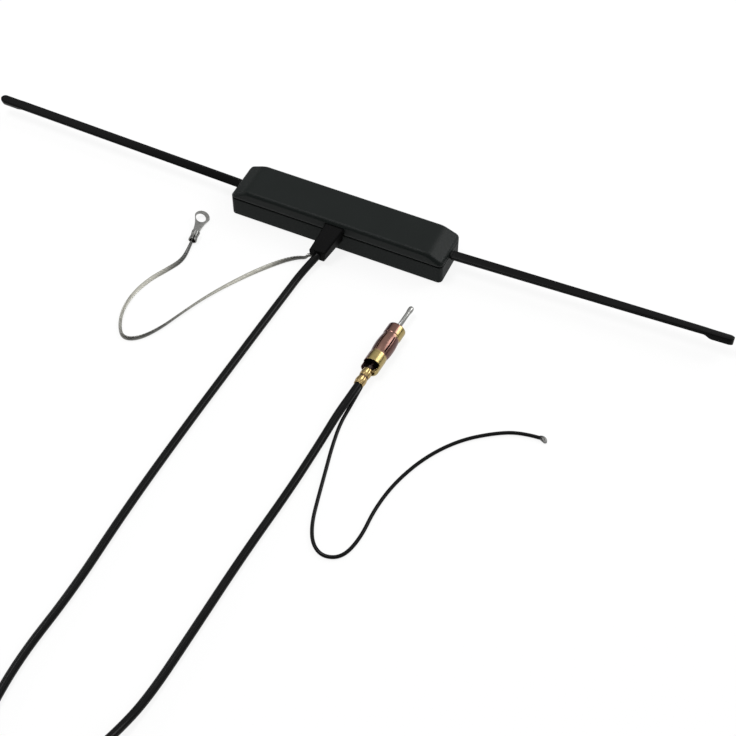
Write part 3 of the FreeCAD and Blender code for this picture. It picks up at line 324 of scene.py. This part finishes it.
def skin(name, rows, look, keep=None, caps=True):
    # a grid of points, closed round, as a smooth mesh; keep leaves quads out and caps close the ends
    along, around = rows.shape[:2]
    kept = np.ones((along - 1, around), bool) if keep is None else keep
    i, j = np.nonzero(kept)
    k = (j + 1) % around
    quads = np.stack([i * around + j, i * around + k, (i + 1) * around + k, (i + 1) * around + j], axis=1)
    faces = quads.tolist()
    uv = np.stack([j, i, j + 1, i, j + 1, i + 1, j, i + 1], axis=1).reshape(-1, 2) / (around, along - 1)
    if caps:
        ends = [np.arange(around)[::-1], (along - 1) * around + np.arange(around)]
        faces += [end.tolist() for end in ends]
        uv = np.vstack([uv, np.tile((0.5, 0.0), (around, 1)), np.tile((0.5, 1.0), (around, 1))])
    mesh = bpy.data.meshes.new(name)
    mesh.from_pydata(rows.reshape(-1, 3).tolist(), [], faces)
    mesh.polygons.foreach_set("use_smooth", np.ones(len(faces), bool))
    mesh.uv_layers.new(name="lay").data.foreach_set("uv", uv.ravel())
    mesh.materials.append(look)
    piece = bpy.data.objects.new(name, mesh)
    scene.collection.objects.link(piece)
    return piece


def onFloor(places, radius):  # the route of a lead that lies on the floor
    return [(x, y, radius) for x, y in places]


coax = {
    "radius": 1.97,
    "start": [(-3.62, -25.836, 4.649), (-6.3, -36.0, 2.9)],
    "outRoute": [(-7.6, -50.0), (-8.9, -70.0), (-10.9, -104.0), (-13.4, -148.0), (-15.2, -196.0), (-15.0, -240.0),
                 (-18.3, -278.0)],
    "coilIn": [(-15.25, -309.0, 2.675), (-15.25, -324.0, 2.675), (-15.25, -340.0, 2.675)],
    "coilOut": [(33.25, -340.0, 13.925), (33.25, -324.0, 13.925), (33.25, -309.0, 13.925), (36.0, -290.0, 4.8)],
    "backRoute": [(39.4, -270.0), (41.2, -236.0), (43.1, -194.0), (46.2, -156.0), (47.4, -126.0)],
    "end": [(48.0, -109.0, 3.2), (49.592, -97.981, 5.0), (50.715, -81.92, 5.0)],
}
coil = {"centre": (9.0, -352.0), "radius": 20.5, "pitch": 3.96, "low": 2.72, "stepsPerTurn": 16, "turns": 11.5,
        "moveFrom": 0.75, "cornerPower": 0.75,
        "order": [(1, 0), (0, 0), (-1, 0), (-1, 1), (0, 1), (1, 1), (1, 2), (0, 2), (-1, 2), (-1, 3), (0, 3), (1, 3)]}


def coilTurns(c):
    # a circle whose turns keep their column and row, each moving to the next one's over its last quarter;
    # the control points stand a little outside it, as the spline cuts their corners
    count = int(c["turns"] * c["stepsPerTurn"])
    turn = np.arange(count + 1) / c["stepsPerTurn"]
    whole = np.minimum(turn.astype(int), len(c["order"]) - 1)
    following = np.minimum(whole + 1, len(c["order"]) - 1)
    part = np.clip((turn - whole - c["moveFrom"]) / (1.0 - c["moveFrom"]), 0.0, 1.0)
    slide = (part * part * (3 - 2 * part))[:, None]
    cells = np.array(c["order"], float)
    cell = cells[whole] * (1 - slide) + cells[following] * slide
    reach = (c["radius"] + cell[:, 0] * c["pitch"]) / math.cos(math.pi / c["stepsPerTurn"]) ** c["cornerPower"]
    angle = math.pi + turn * 2 * math.pi
    return np.c_[c["centre"][0] + reach * np.cos(angle), c["centre"][1] + reach * np.sin(angle),
                 c["low"] + cell[:, 1] * c["pitch"]]


coaxPoints = np.vstack([
    coax["start"], onFloor(coax["outRoute"], coax["radius"]), coax["coilIn"], coilTurns(coil), coax["coilOut"],
    onFloor(coax["backRoute"], coax["radius"]), coax["end"],
])
coaxLead = nurbsLine("coaxLead", coaxPoints * mm, coax["radius"] * mm)
coaxLead.data.materials.append(made["jacket"])
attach(coaxLead, "root")
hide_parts("coax_lead_out", "coax_coil", "coax_lead_plug")

strap = {"middle": (9.0, -372.5, 8.66), "halfWidth": 2.0, "half": (6.75, 8.66), "squareness": 6.0, "crown": 0.12,
         "sheet": 0.7, "edge": 0.2, "around": 96, "across": 9}


def squared(wave, power):  # a sine or cosine whose oval is squared by a power under one
    return np.sign(wave) * np.abs(wave) ** power


def strapSkin(s):
    # a squared oval round the coil's section, carried across the strap's width and crowned a little in the middle
    across = np.linspace(-1.0, 1.0, s["across"])[:, None]
    angle = np.linspace(0.0, 2 * math.pi, s["around"], endpoint=False)[None, :]
    power = 2.0 / s["squareness"]
    inset = s["crown"] * across * across
    aside = (s["half"][0] - inset) * squared(np.cos(angle), power)
    rise = (s["half"][1] - inset) * squared(np.sin(angle), power)
    flat = np.broadcast_to(across * s["halfWidth"], aside.shape)
    return (np.array(s["middle"]) + np.stack([flat, aside, rise], axis=2)) * mm


def wallPiece(piece, wall, edge, inner=None):  # gives a skin its wall, inwards, and breaks its sharp edges
    solid = piece.modifiers.new("wall", "SOLIDIFY")
    solid.thickness = wall * mm
    solid.offset = -1.0
    if inner:
        piece.data.materials.append(inner)
        solid.material_offset = 1  # the inner side takes the second material
    bevel = piece.modifiers.new("edge", "BEVEL")
    bevel.width = edge * mm
    bevel.segments = 2
    bevel.limit_method = "ANGLE"
    bevel.angle_limit = math.radians(50.0)


coilStrap = skin("coilStrap", strapSkin(strap), made["tie"], caps=False)
wallPiece(coilStrap, strap["sheet"], strap["edge"])
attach(coilStrap, "root")
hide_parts("coil_tie")

power = {
    "radius": 0.9,
    "start": [(51.15, -88.6, 2.6), (51.3, -95.1, 2.7), (50.9, -102.6, 1.4)],
    "route": [(50.8, -112.0), (53.0, -125.0), (56.2, -138.6), (59.4, -152.6), (62.7, -166.0), (67.7, -175.6),
              (74.8, -179.5), (82.7, -175.9), (85.6, -163.7), (84.9, -147.3), (87.5, -130.1), (94.4, -112.0),
              (104.7, -97.2), (117.4, -86.9), (128.7, -81.0), (138.0, -80.2)],
}
powerPoints = np.vstack([power["start"], onFloor(power["route"], power["radius"])])
powerLead = nurbsLine("powerLead", powerPoints * mm, power["radius"] * mm)
powerLead.data.materials.append(made["jacket"])
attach(powerLead, "root")
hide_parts("power_lead")

tip = {
    "route": [(137.7, -80.15, 0.9), (139.9, -79.4, 1.0), (141.3, -81.7, 0.6)], "routeSteps": 24, "step": 0.1,
    "wide": (0.9, 0.7), "bulge": 0.7, "thick": (0.8, 0.45), "strands": 6, "ribDepth": 0.34, "around": 84, "winds": 0.1,
    "turnFrom": 0.5, "turnRate": 0.0, "turnGain": 0.0, "turnEarly": 0.0, "turnFade": 1.0,
    "broadSheenTone": (0.40, 0.395, 0.38), "edgeOnShadeTone": (0.004, 0.004, 0.004),
    "strandShadePart": 0.55, "startShade": (0.1, 0.5, 0.1), "endShade": (0.8, 1.0, 0.8),
}
tipRoute = nurbsLine("tipRoute", np.array(tip["route"]) * mm, steps=tip["routeSteps"])
tipLine = readLine(tipRoute, tip["step"] * mm)
bpy.data.objects.remove(tipRoute)


def splayedTip(t, line):
    # an oval that swells and then narrows along the bared end, ribbed by its strands
    share = np.linspace(0.0, 1.0, len(line))[:, None]
    angle = np.linspace(0.0, 2 * math.pi, t["around"], endpoint=False)[None, :]
    rib = 1.0 - t["ribDepth"] * (1.0 - np.abs(np.cos(t["strands"] * angle / 2)))
    wide = (np.interp(share, (0.0, 1.0), t["wide"]) + t["bulge"] * np.sin(math.pi * share)) * mm
    thick = np.interp(share, (0.0, 1.0), t["thick"]) * mm
    return carried(line, wide * rib * np.sin(angle), thick * rib * np.cos(angle))


powerTip = skin("powerTip", splayedTip(tip, tipLine), strandLook("tipStrands", tip))
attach(powerTip, "root")
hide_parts("power_lead_tip")

earth = {
    "radius": 1.0,
    "start": [(-8.517, -25.313, 3.352), (-9.0, -26.2, 2.0), (-12.6, -26.9, 1.5), (-18.0, -30.8, 1.2)],
    "route": [(-23.9, -37.4), (-30.0, -45.6), (-37.0, -57.0), (-43.4, -69.5), (-48.8, -83.2),
              (-53.7, -96.9), (-59.9, -106.8), (-67.2, -109.9), (-72.7, -103.7), (-76.6, -94.1), (-77.4, -82.5),
              (-74.6, -70.8), (-69.4, -61.0), (-65.8, -53.2)],
    "end": [(-66.2, -45.0, 1.9), (-67.98, -36.22, 1.87)],
    "step": 0.5, "around": 56, "strands": 7, "ribDepth": 0.10, "winds": 15, "halfWide": 1.2, "halfThick": 0.66,
    "turnFrom": -0.24, "turnRate": 1.2, "turnGain": 0.55, "turnEarly": 0.36, "turnFade": 0.09,
    "broadSheenTone": (0.50, 0.49, 0.43), "edgeOnShadeTone": (0.035, 0.035, 0.033),
    "strandShadePart": 0.2, "startShade": (0.02, 0.10, 0.75), "endShade": (0.80, 0.92, 0.35),
}
earthPoints = np.vstack([earth["start"], onFloor(earth["route"], earth["radius"]), earth["end"]])
earthRoute = nurbsLine("earthRoute", earthPoints * mm)
earthLine = readLine(earthRoute, earth["step"] * mm)
bpy.data.objects.remove(earthRoute)


def strandedLead(e, line):
    # an oval that rests on the floor, ribbed by strands that wind round it; along the lead it turns over by a
    # quadratic in the share of the length, and faster near the start by a fading exponential
    share = np.linspace(0.0, 1.0, len(line))[:, None]
    angle = np.linspace(0.0, 2 * math.pi, e["around"], endpoint=False)[None, :]
    early = e["turnEarly"] * np.exp(-share / e["turnFade"])
    turn = math.pi * (e["turnFrom"] + e["turnRate"] * share + e["turnGain"] * share * share - early)
    wound = angle - 2 * math.pi * e["winds"] * share
    rib = 1.0 - e["ribDepth"] * (1.0 - np.abs(np.cos(e["strands"] * wound / 2)))
    wide = e["halfWide"] * mm * rib * np.sin(angle)
    thick = e["halfThick"] * mm * rib * np.cos(angle)
    reach = np.hypot(e["halfWide"] * np.sin(turn), e["halfThick"] * np.cos(turn)) * mm
    return carried(line, wide * np.cos(turn) + thick * np.sin(turn),
                   thick * np.cos(turn) - wide * np.sin(turn) + reach - e["radius"] * mm)


earthLead = skin("earthLead", strandedLead(earth, earthLine), strandLook("strands", earth))
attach(earthLead, "root")
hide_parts("earth_lead")

print("whips")
whips = {
    "leftWhip": {"node": "left_whip", "root": (-59.2, 0.0, 10.0), "heading": 178.66, "reach": 150.0, "width": 4.75,
                 "roll": (41.0, 19.0)},
    "rightWhip": {"node": "right_whip", "root": (59.2, 0.0, 10.0), "heading": 2.5, "reach": 144.5, "width": 4.9,
                  "roll": (-13.0, 21.0)},
}
whipForm = {"thickness": 2.2, "squareness": 5.0, "rootRadius": 1.9, "inWall": -1.8, "blend": (0.2, 0.9), "foot": 14.0,
            "footRamp": 3.0, "footDrop": 1.6, "step": 1.0, "around": 48, "tipSteps": 12}


def whipSkin(w, f):
    # a squared oval that rolls evenly from root to tip, thicker below at the foot; its width ends in a half circle
    half = w["width"] / 2
    body = np.arange(f["inWall"], w["reach"] - half, f["step"])
    rounding = w["reach"] - half + half * np.sin(np.linspace(0.0, math.pi / 2, f["tipSteps"] + 1))[:-1]
    stations = np.r_[body, f["blend"], rounding]
    stations.sort()
    strip = np.clip((stations - f["blend"][0]) / (f["blend"][1] - f["blend"][0]), 0.0, 1.0)[:, None]
    drop = f["footDrop"] * np.clip((stations - w["reach"] + f["foot"]) / f["footRamp"], 0.0, 1.0)[:, None]
    past = np.clip((stations - w["reach"] + half) / half, 0.0, 1.0)[:, None]
    wide = f["rootRadius"] + (half - f["rootRadius"]) * strip
    wide = wide * np.sqrt(1.0 - past * past)
    high = f["rootRadius"] + ((f["thickness"] + drop) / 2 - f["rootRadius"]) * strip
    power = 1.0 + (2.0 / f["squareness"] - 1.0) * strip
    angle = np.linspace(0.0, 2 * math.pi, f["around"], endpoint=False)[None, :]
    across = wide * squared(np.sin(angle), power)
    over = high * squared(np.cos(angle), power) - drop / 2
    roll = np.radians(np.interp(stations, (0.0, w["reach"]), w["roll"]))[:, None]
    heading = math.radians(w["heading"])
    line = (np.array(w["root"]) + stations[:, None] * (math.cos(heading), math.sin(heading), 0.0)) * mm
    return carried(line, (across * np.cos(roll) - over * np.sin(roll)) * mm,
                   (across * np.sin(roll) + over * np.cos(roll)) * mm)


for name, whip in whips.items():
    piece = skin(name, whipSkin(whip, whipForm), made["whip"])
    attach(piece, "root")
    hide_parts(whip["node"])

print("plug")
plugFrame = {"tail": (50.15, -90.0, 5.0), "angle": 4.0, "slotTurn": -22.0, "mouthAt": 8.5, "mouthHalf": 81.5,
             "sameStation": 1e-6}
turned = math.radians(plugFrame["angle"])
plugAxis = (math.sin(turned), math.cos(turned), 0.0)
plugRight = (math.cos(turned), -math.sin(turned), 0.0)
plugTail = np.array(plugFrame["tail"]) * mm
tailAlong = float(plugTail @ np.array(plugAxis))


def turnedPiece(stations, radii, angles):
    # a body of revolution: each angle from the top carries the profile round the plug's axis
    line = plugTail + np.asarray(stations)[:, None] * mm * np.array(plugAxis)
    reach = np.asarray(radii).reshape(len(stations), -1) * mm
    angle = np.radians(angles)[None, :]
    return carried(line, reach * np.sin(angle), reach * np.cos(angle))


def stationsAlong(start, end, step, others):  # even steps along the plug with others put in, each kept once
    stations = np.union1d(np.arange(start, end, step), others)
    return stations[np.r_[True, np.diff(stations) > plugFrame["sameStation"]]]


def roundMouth(angles):
    # the angles with the mouth's two sides put in, the middles of their quads, and how far each is from the mouth's
    sides = plugFrame["mouthAt"] + plugFrame["mouthHalf"] * np.array([-1.0, 1.0])
    angles = np.union1d(angles % 360.0, sides % 360.0)
    middle = (angles + np.r_[angles[1:], angles[0] + 360.0]) / 2
    fromMouth = np.abs((middle - plugFrame["mouthAt"] + 180.0) % 360.0 - 180.0)[None, :]
    return angles, middle, fromMouth


sleeve = {
    "profile": [(9.3, 3.5), (9.7, 4.05), (10.2, 4.42), (10.9, 4.62), (18.4, 4.62), (18.8, 4.52), (19.7, 4.48),
                (31.7, 4.48), (32.5, 4.50), (32.8, 4.66), (33.2, 4.70), (38.0, 4.70), (38.35, 4.62), (38.5, 4.45)],
    "bow": (19.7, 31.7), "bowRise": 0.48, "slot": (20.5, 30.9), "slotHalf": 4.0, "slots": 6, "leafSteps": 15,
    "mouthEnd": 13.3, "wall": 0.45, "edge": 0.08, "step": 0.3,
}
plating = {
    "axis": plugAxis, "bowMiddle": tailAlong + 25.7 * mm, "bowHalf": 6.0 * mm,
    "right": plugRight, "rightAt": float(plugTail @ np.array(plugRight)), "reach": 4.7 * mm,
    "ringGlintTurn": (0.25, 0.75), "ringTintAndGlint": (0.70, 0.30), "rearTint": 0.32, "shadeTint": 0.5, "bowTint": (0.62, 0.16),
    "patch": 210.0, "rough": 0.15,
    "tones": [(0.18, (0.19, 0.17, 0.06)), (0.36, (0.42, 0.32, 0.14)), (0.58, (0.25, 0.14, 0.11)),
              (0.85, (0.09, 0.045, 0.045))],
}


def sleeveSkin(s):
    # the radius follows the profile, plus a parabola over the bow; slots and mouth are quads left out
    low, high = s["bow"]
    ends = np.array(s["profile"])
    stations = stationsAlong(ends[0, 0], ends[-1, 0], s["step"], np.r_[ends[:, 0], s["slot"], s["mouthEnd"]])
    across = np.clip((2 * stations - low - high) / (high - low), -1.0, 1.0)
    radii = np.interp(stations, ends[:, 0], ends[:, 1]) + s["bowRise"] * (1.0 - across * across)
    sector = 360.0 / s["slots"]
    steps = np.r_[-s["slotHalf"], 0.0, np.linspace(s["slotHalf"], sector - s["slotHalf"], s["leafSteps"])[:-1]]
    angles, middle, fromMouth = roundMouth((np.arange(s["slots"])[:, None] * sector + steps).ravel())
    station = ((stations[1:] + stations[:-1]) / 2)[:, None]
    fromSlot = np.abs((middle + sector / 2) % sector - sector / 2)[None, :]
    inSlot = (station > s["slot"][0]) & (station < s["slot"][1]) & (fromSlot < s["slotHalf"])
    inMouth = (station < s["mouthEnd"]) & (fromMouth < plugFrame["mouthHalf"])
    return turnedPiece(stations, radii, angles + plugFrame["slotTurn"]), ~(inSlot | inMouth)


rows, keep = sleeveSkin(sleeve)
plugSleeve = skin("plugSleeve", rows, platedLook("plating", plating), keep, caps=False)
wallPiece(plugSleeve, sleeve["wall"], sleeve["edge"], made["inside"])
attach(plugSleeve, "root")
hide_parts("plug_sleeve")

crimp = {"start": -0.3, "barrelEnd": 9.3, "coneEnd": 11.2, "end": 13.8, "radius": 2.40, "seatRadius": 4.05,
         "beads": 2.0, "beadRise": 0.32, "beadPower": 1.4, "seamAt": 42.0, "seamHalf": 12.0, "seamDepth": 0.3,
         "wall": 0.45, "edge": 0.06, "step": 0.2, "around": 72}
crimpPlating = {
    **plating, "rearTint": 0.44, "shadeTint": 0.6, "patch": 240.0, "rough": 0.12,
    "tones": [(0.25, (0.27, 0.22, 0.05)), (0.45, (0.40, 0.29, 0.13)), (0.62, (0.18, 0.11, 0.06)),
              (0.85, (0.03, 0.02, 0.02))],
    # gap, gapHalf and gapShadeTone make the painted shade in the groove between the bead rows
    "gap": tailAlong + 4.5 * mm, "gapHalf": 0.5 * mm, "gapShadeTone": (0.10, 0.06, 0.045),
}


def crimpSkin(c):
    # beads are a power of a rectified sine along the barrel, parted by a seam that is a bell curve round it;
    # a cone leads to the seat, and the mouth's quads are left out
    stations = stationsAlong(c["start"], c["end"], c["step"], (c["barrelEnd"], c["coneEnd"], c["end"]))
    share = np.clip((stations - c["start"]) / (c["barrelEnd"] - c["start"]), 0.0, 1.0)
    beads = c["beadRise"] * np.abs(np.sin(math.pi * c["beads"] * share)) ** c["beadPower"] * (share < 1.0)
    radii = beads + np.interp(stations, (c["start"], c["barrelEnd"], c["coneEnd"], c["end"]),
                              (c["radius"], c["radius"], c["seatRadius"], c["seatRadius"]))
    angles, _, fromMouth = roundMouth(np.arange(c["around"]) * 360.0 / c["around"])
    station = ((stations[1:] + stations[:-1]) / 2)[:, None]
    seam = np.exp(-((angles - c["seamAt"]) / c["seamHalf"]) ** 2)[None, :] * (share < 1.0)[:, None]
    around = radii[:, None] - c["seamDepth"] * seam
    inMouth = (station > c["barrelEnd"]) & (fromMouth < plugFrame["mouthHalf"])
    return turnedPiece(stations, around, angles + plugFrame["slotTurn"]), ~inMouth


rows, keep = crimpSkin(crimp)
plugCrimp = skin("plugCrimp", rows, platedLook("crimpPlating", crimpPlating), keep, caps=False)
wallPiece(plugCrimp, crimp["wall"], crimp["edge"], made["inside"])
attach(plugCrimp, "root")
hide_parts("plug_crimp")

pin = {"profile": [(20.0, 1.2), (49.6, 1.18), (50.6, 1.30), (51.6, 1.44), (52.9, 1.44), (53.5, 1.30), (53.95, 1.0),
                   (54.2, 0.62), (54.3, 0.2)], "around": 48}
ends = np.array(pin["profile"])
pinAngles = np.arange(pin["around"]) * 360.0 / pin["around"]
plugPin = skin("plugPin", turnedPiece(ends[:, 0], ends[:, 1], pinAngles), made["pin"])
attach(plugPin, "root")
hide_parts("plug_pin")

print("terminal")
terminal = {
    "eye": (-70.61, -23.33, 1.75), "plateEnd": (-67.74, -40.27, 0.41), "roll": 21.0, "radius": 4.0, "hole": 2.67,
    "holeShift": (0.57, -0.49), "neckHalf": 1.85, "fanEnd": 8.6, "fanPower": 1.7, "plateLength": 12.4, "sheet": 0.6,
    "edge": 0.1, "around": 180, "rings": 5, "outlineSteps": 80, "barrel": (11.1, 17.0), "barrelRadius": 2.2,
    "axisAbove": 2.0, "pinch": 0.26, "pinchSpread": 0.25, "slitHalf": 9.0, "barrelStep": 0.25, "barrelAround": 60,
}
eyeAt = np.array(terminal["eye"]) * mm
terminalRun = np.array(terminal["plateEnd"]) * mm - eyeAt
terminalRun /= np.linalg.norm(terminalRun)
sideways = np.cross((0.0, 0.0, 1.0), terminalRun)
sideways /= np.linalg.norm(sideways)
leaning = math.radians(terminal["roll"])
terminalUp = np.cross(terminalRun, sideways) * math.cos(leaning) + sideways * math.sin(leaning)
terminalSide = np.cross(terminalUp, terminalRun)


def plateSkin(t):
    # each ray from the eye's middle runs from the hole to the outline: the eye's circle, the neck's fan, which
    # narrows by a power of the run, or the neck's straight end
    run = np.linspace(t["plateLength"], 0.0, t["outlineSteps"])
    fan = t["neckHalf"] + (t["radius"] - t["neckHalf"]) * np.clip(1.0 - run / t["fanEnd"], 0.0, 1.0) ** t["fanPower"]
    angle = np.linspace(-math.pi, math.pi, t["around"], endpoint=False)
    outline = np.interp(np.abs(angle), np.arctan2(fan, run), np.hypot(fan, run), right=t["radius"])
    atEnd = np.abs(angle) < np.arctan2(fan[0], run[0])
    outline[atEnd] = t["plateLength"] / np.cos(angle[atEnd])
    ray = np.stack([np.cos(angle), np.sin(angle)], axis=1)
    inner = np.array(t["holeShift"]) + t["hole"] * ray
    share = np.linspace(0.0, 1.0, t["rings"])[:, None, None]
    flat = (inner + (outline[:, None] * ray - inner) * share) * mm
    return eyeAt + flat[:, :, :1] * terminalRun + flat[:, :, 1:] * terminalSide


def barrelSkin(t):
    # a tube above the plate, pinched in its middle by a bell curve; the quads of its slit are left out
    low, high = t["barrel"]
    stations = np.arange(low, high, t["barrelStep"])
    line = eyeAt + stations[:, None] * mm * terminalRun + t["axisAbove"] * mm * terminalUp
    bell = np.exp(-((stations - (low + high) / 2) / (high - low) / t["pinchSpread"]) ** 2)[:, None]
    turns = np.linspace(t["slitHalf"], 360.0 - t["slitHalf"], t["barrelAround"])
    angle = np.radians(turns - t["roll"])[None, :]
    reach = (t["barrelRadius"] - t["pinch"] * bell) * mm
    keep = np.ones((len(stations) - 1, t["barrelAround"]), bool)
    keep[:, -1] = False
    return carried(line, reach * np.sin(angle), reach * np.cos(angle)), keep


ringPlate = skin("ringPlate", plateSkin(terminal), made["terminal"], caps=False)
rows, keep = barrelSkin(terminal)
ringBarrel = skin("ringBarrel", rows, made["terminal"], keep, caps=False)
wallPiece(ringPlate, terminal["sheet"], terminal["edge"])
wallPiece(ringBarrel, terminal["sheet"], terminal["edge"], made["inside"])
for piece in (ringPlate, ringBarrel):
    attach(piece, "root")
    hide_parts("ring_terminal")


print("stage")
stage = {"white": (0.9, 0.9, 0.9), "floorRough": 0.9, "halfWidth": 20.0, "seenWhite": 0.85,
         "sky": (0.14, 0.85), "brightSide": (0.34, 0.62, 0.71), "sideSpan": (-0.2, 0.9),
         "horizon": (0.06, 1.0), "heightSpan": (0.0, 0.5)}
floorData = bpy.data.meshes.new("floor")
far = stage["halfWidth"]
floorData.from_pydata([(-far, -far, 0), (far, -far, 0), (far, far, 0), (-far, far, 0)], [], [(0, 1, 2, 3)])
floor = bpy.data.objects.new("floor", floorData)
scene.collection.objects.link(floor)
floorLook, floorNodes, shader = newMaterial("floor")
shader.inputs["Base Color"].default_value = (*stage["white"], 1.0)
shader.inputs["Roughness"].default_value = stage["floorRough"]
cameraRay, glossyRay, throughRay = [floorNodes.node("ShaderNodeLightPath", out=ray) for ray in
                                    ("Is Camera Ray", "Is Glossy Ray", "Is Transmission Ray")]
seen = floorNodes.math("MAXIMUM", cameraRay, floorNodes.math("MAXIMUM", glossyRay, throughRay))
glow = floorNodes.node("ShaderNodeEmission", None, {"Color": (1, 1, 1, 1), "Strength": 1.0})
mixed = floorNodes.node("ShaderNodeMixShader", None,
                        {0: seen * stage["seenWhite"], 1: Socket(floorNodes.tree, shader.outputs[0]), 2: glow})
plug(mixed, floorLook.node_tree.nodes["Material Output"].inputs["Surface"])
floorData.materials.append(floorLook)

world = bpy.data.worlds.new("world")  # soft light that is brighter behind the part than on the viewer's side
scene.world = world
world.use_nodes = True
sky = Socket(world.node_tree, None)
ray = sky.node("ShaderNodeTexCoord")
side = sky.eased(sky.dot(ray, stage["brightSide"]), stage["sideSpan"], stage["sky"])
height = sky.node("ShaderNodeSeparateXYZ", None, {0: ray}, out=2)
background = world.node_tree.nodes["Background"]
background.inputs["Color"].default_value = (1.0, 1.0, 1.0, 1.0)
plug(side * sky.eased(height, stage["heightSpan"], stage["horizon"]), background.inputs["Strength"])

lamps = {
    "overhead": {"place": (-0.34, -0.10, 1.25), "aim": (0.0, -0.08, 0.0), "size": 0.45, "height": 0.45, "watts": 7.0},
    "backRight": {"place": (0.86, 0.82, 0.78), "aim": (0.02, -0.05, 0.0), "size": 0.6, "height": 0.9, "watts": 8.0},
    "leftStrip": {"place": (-1.3, -0.15, 0.48), "aim": (0.0, -0.12, 0.0), "size": 1.2, "height": 0.25, "watts": 4.0},
}
for name, lamp in lamps.items():
    data = bpy.data.lights.new(name, "AREA")
    data.shape = "RECTANGLE"
    data.size = lamp["size"]
    data.size_y = lamp["height"]
    data.energy = lamp["watts"]
    obj = bpy.data.objects.new(name, data)
    scene.collection.objects.link(obj)
    obj.location = lamp["place"]
    obj.rotation_euler = (Vector(lamp["aim"]) - Vector(lamp["place"])).to_track_quat("-Z", "Y").to_euler()

scene.view_settings.view_transform = "Standard"
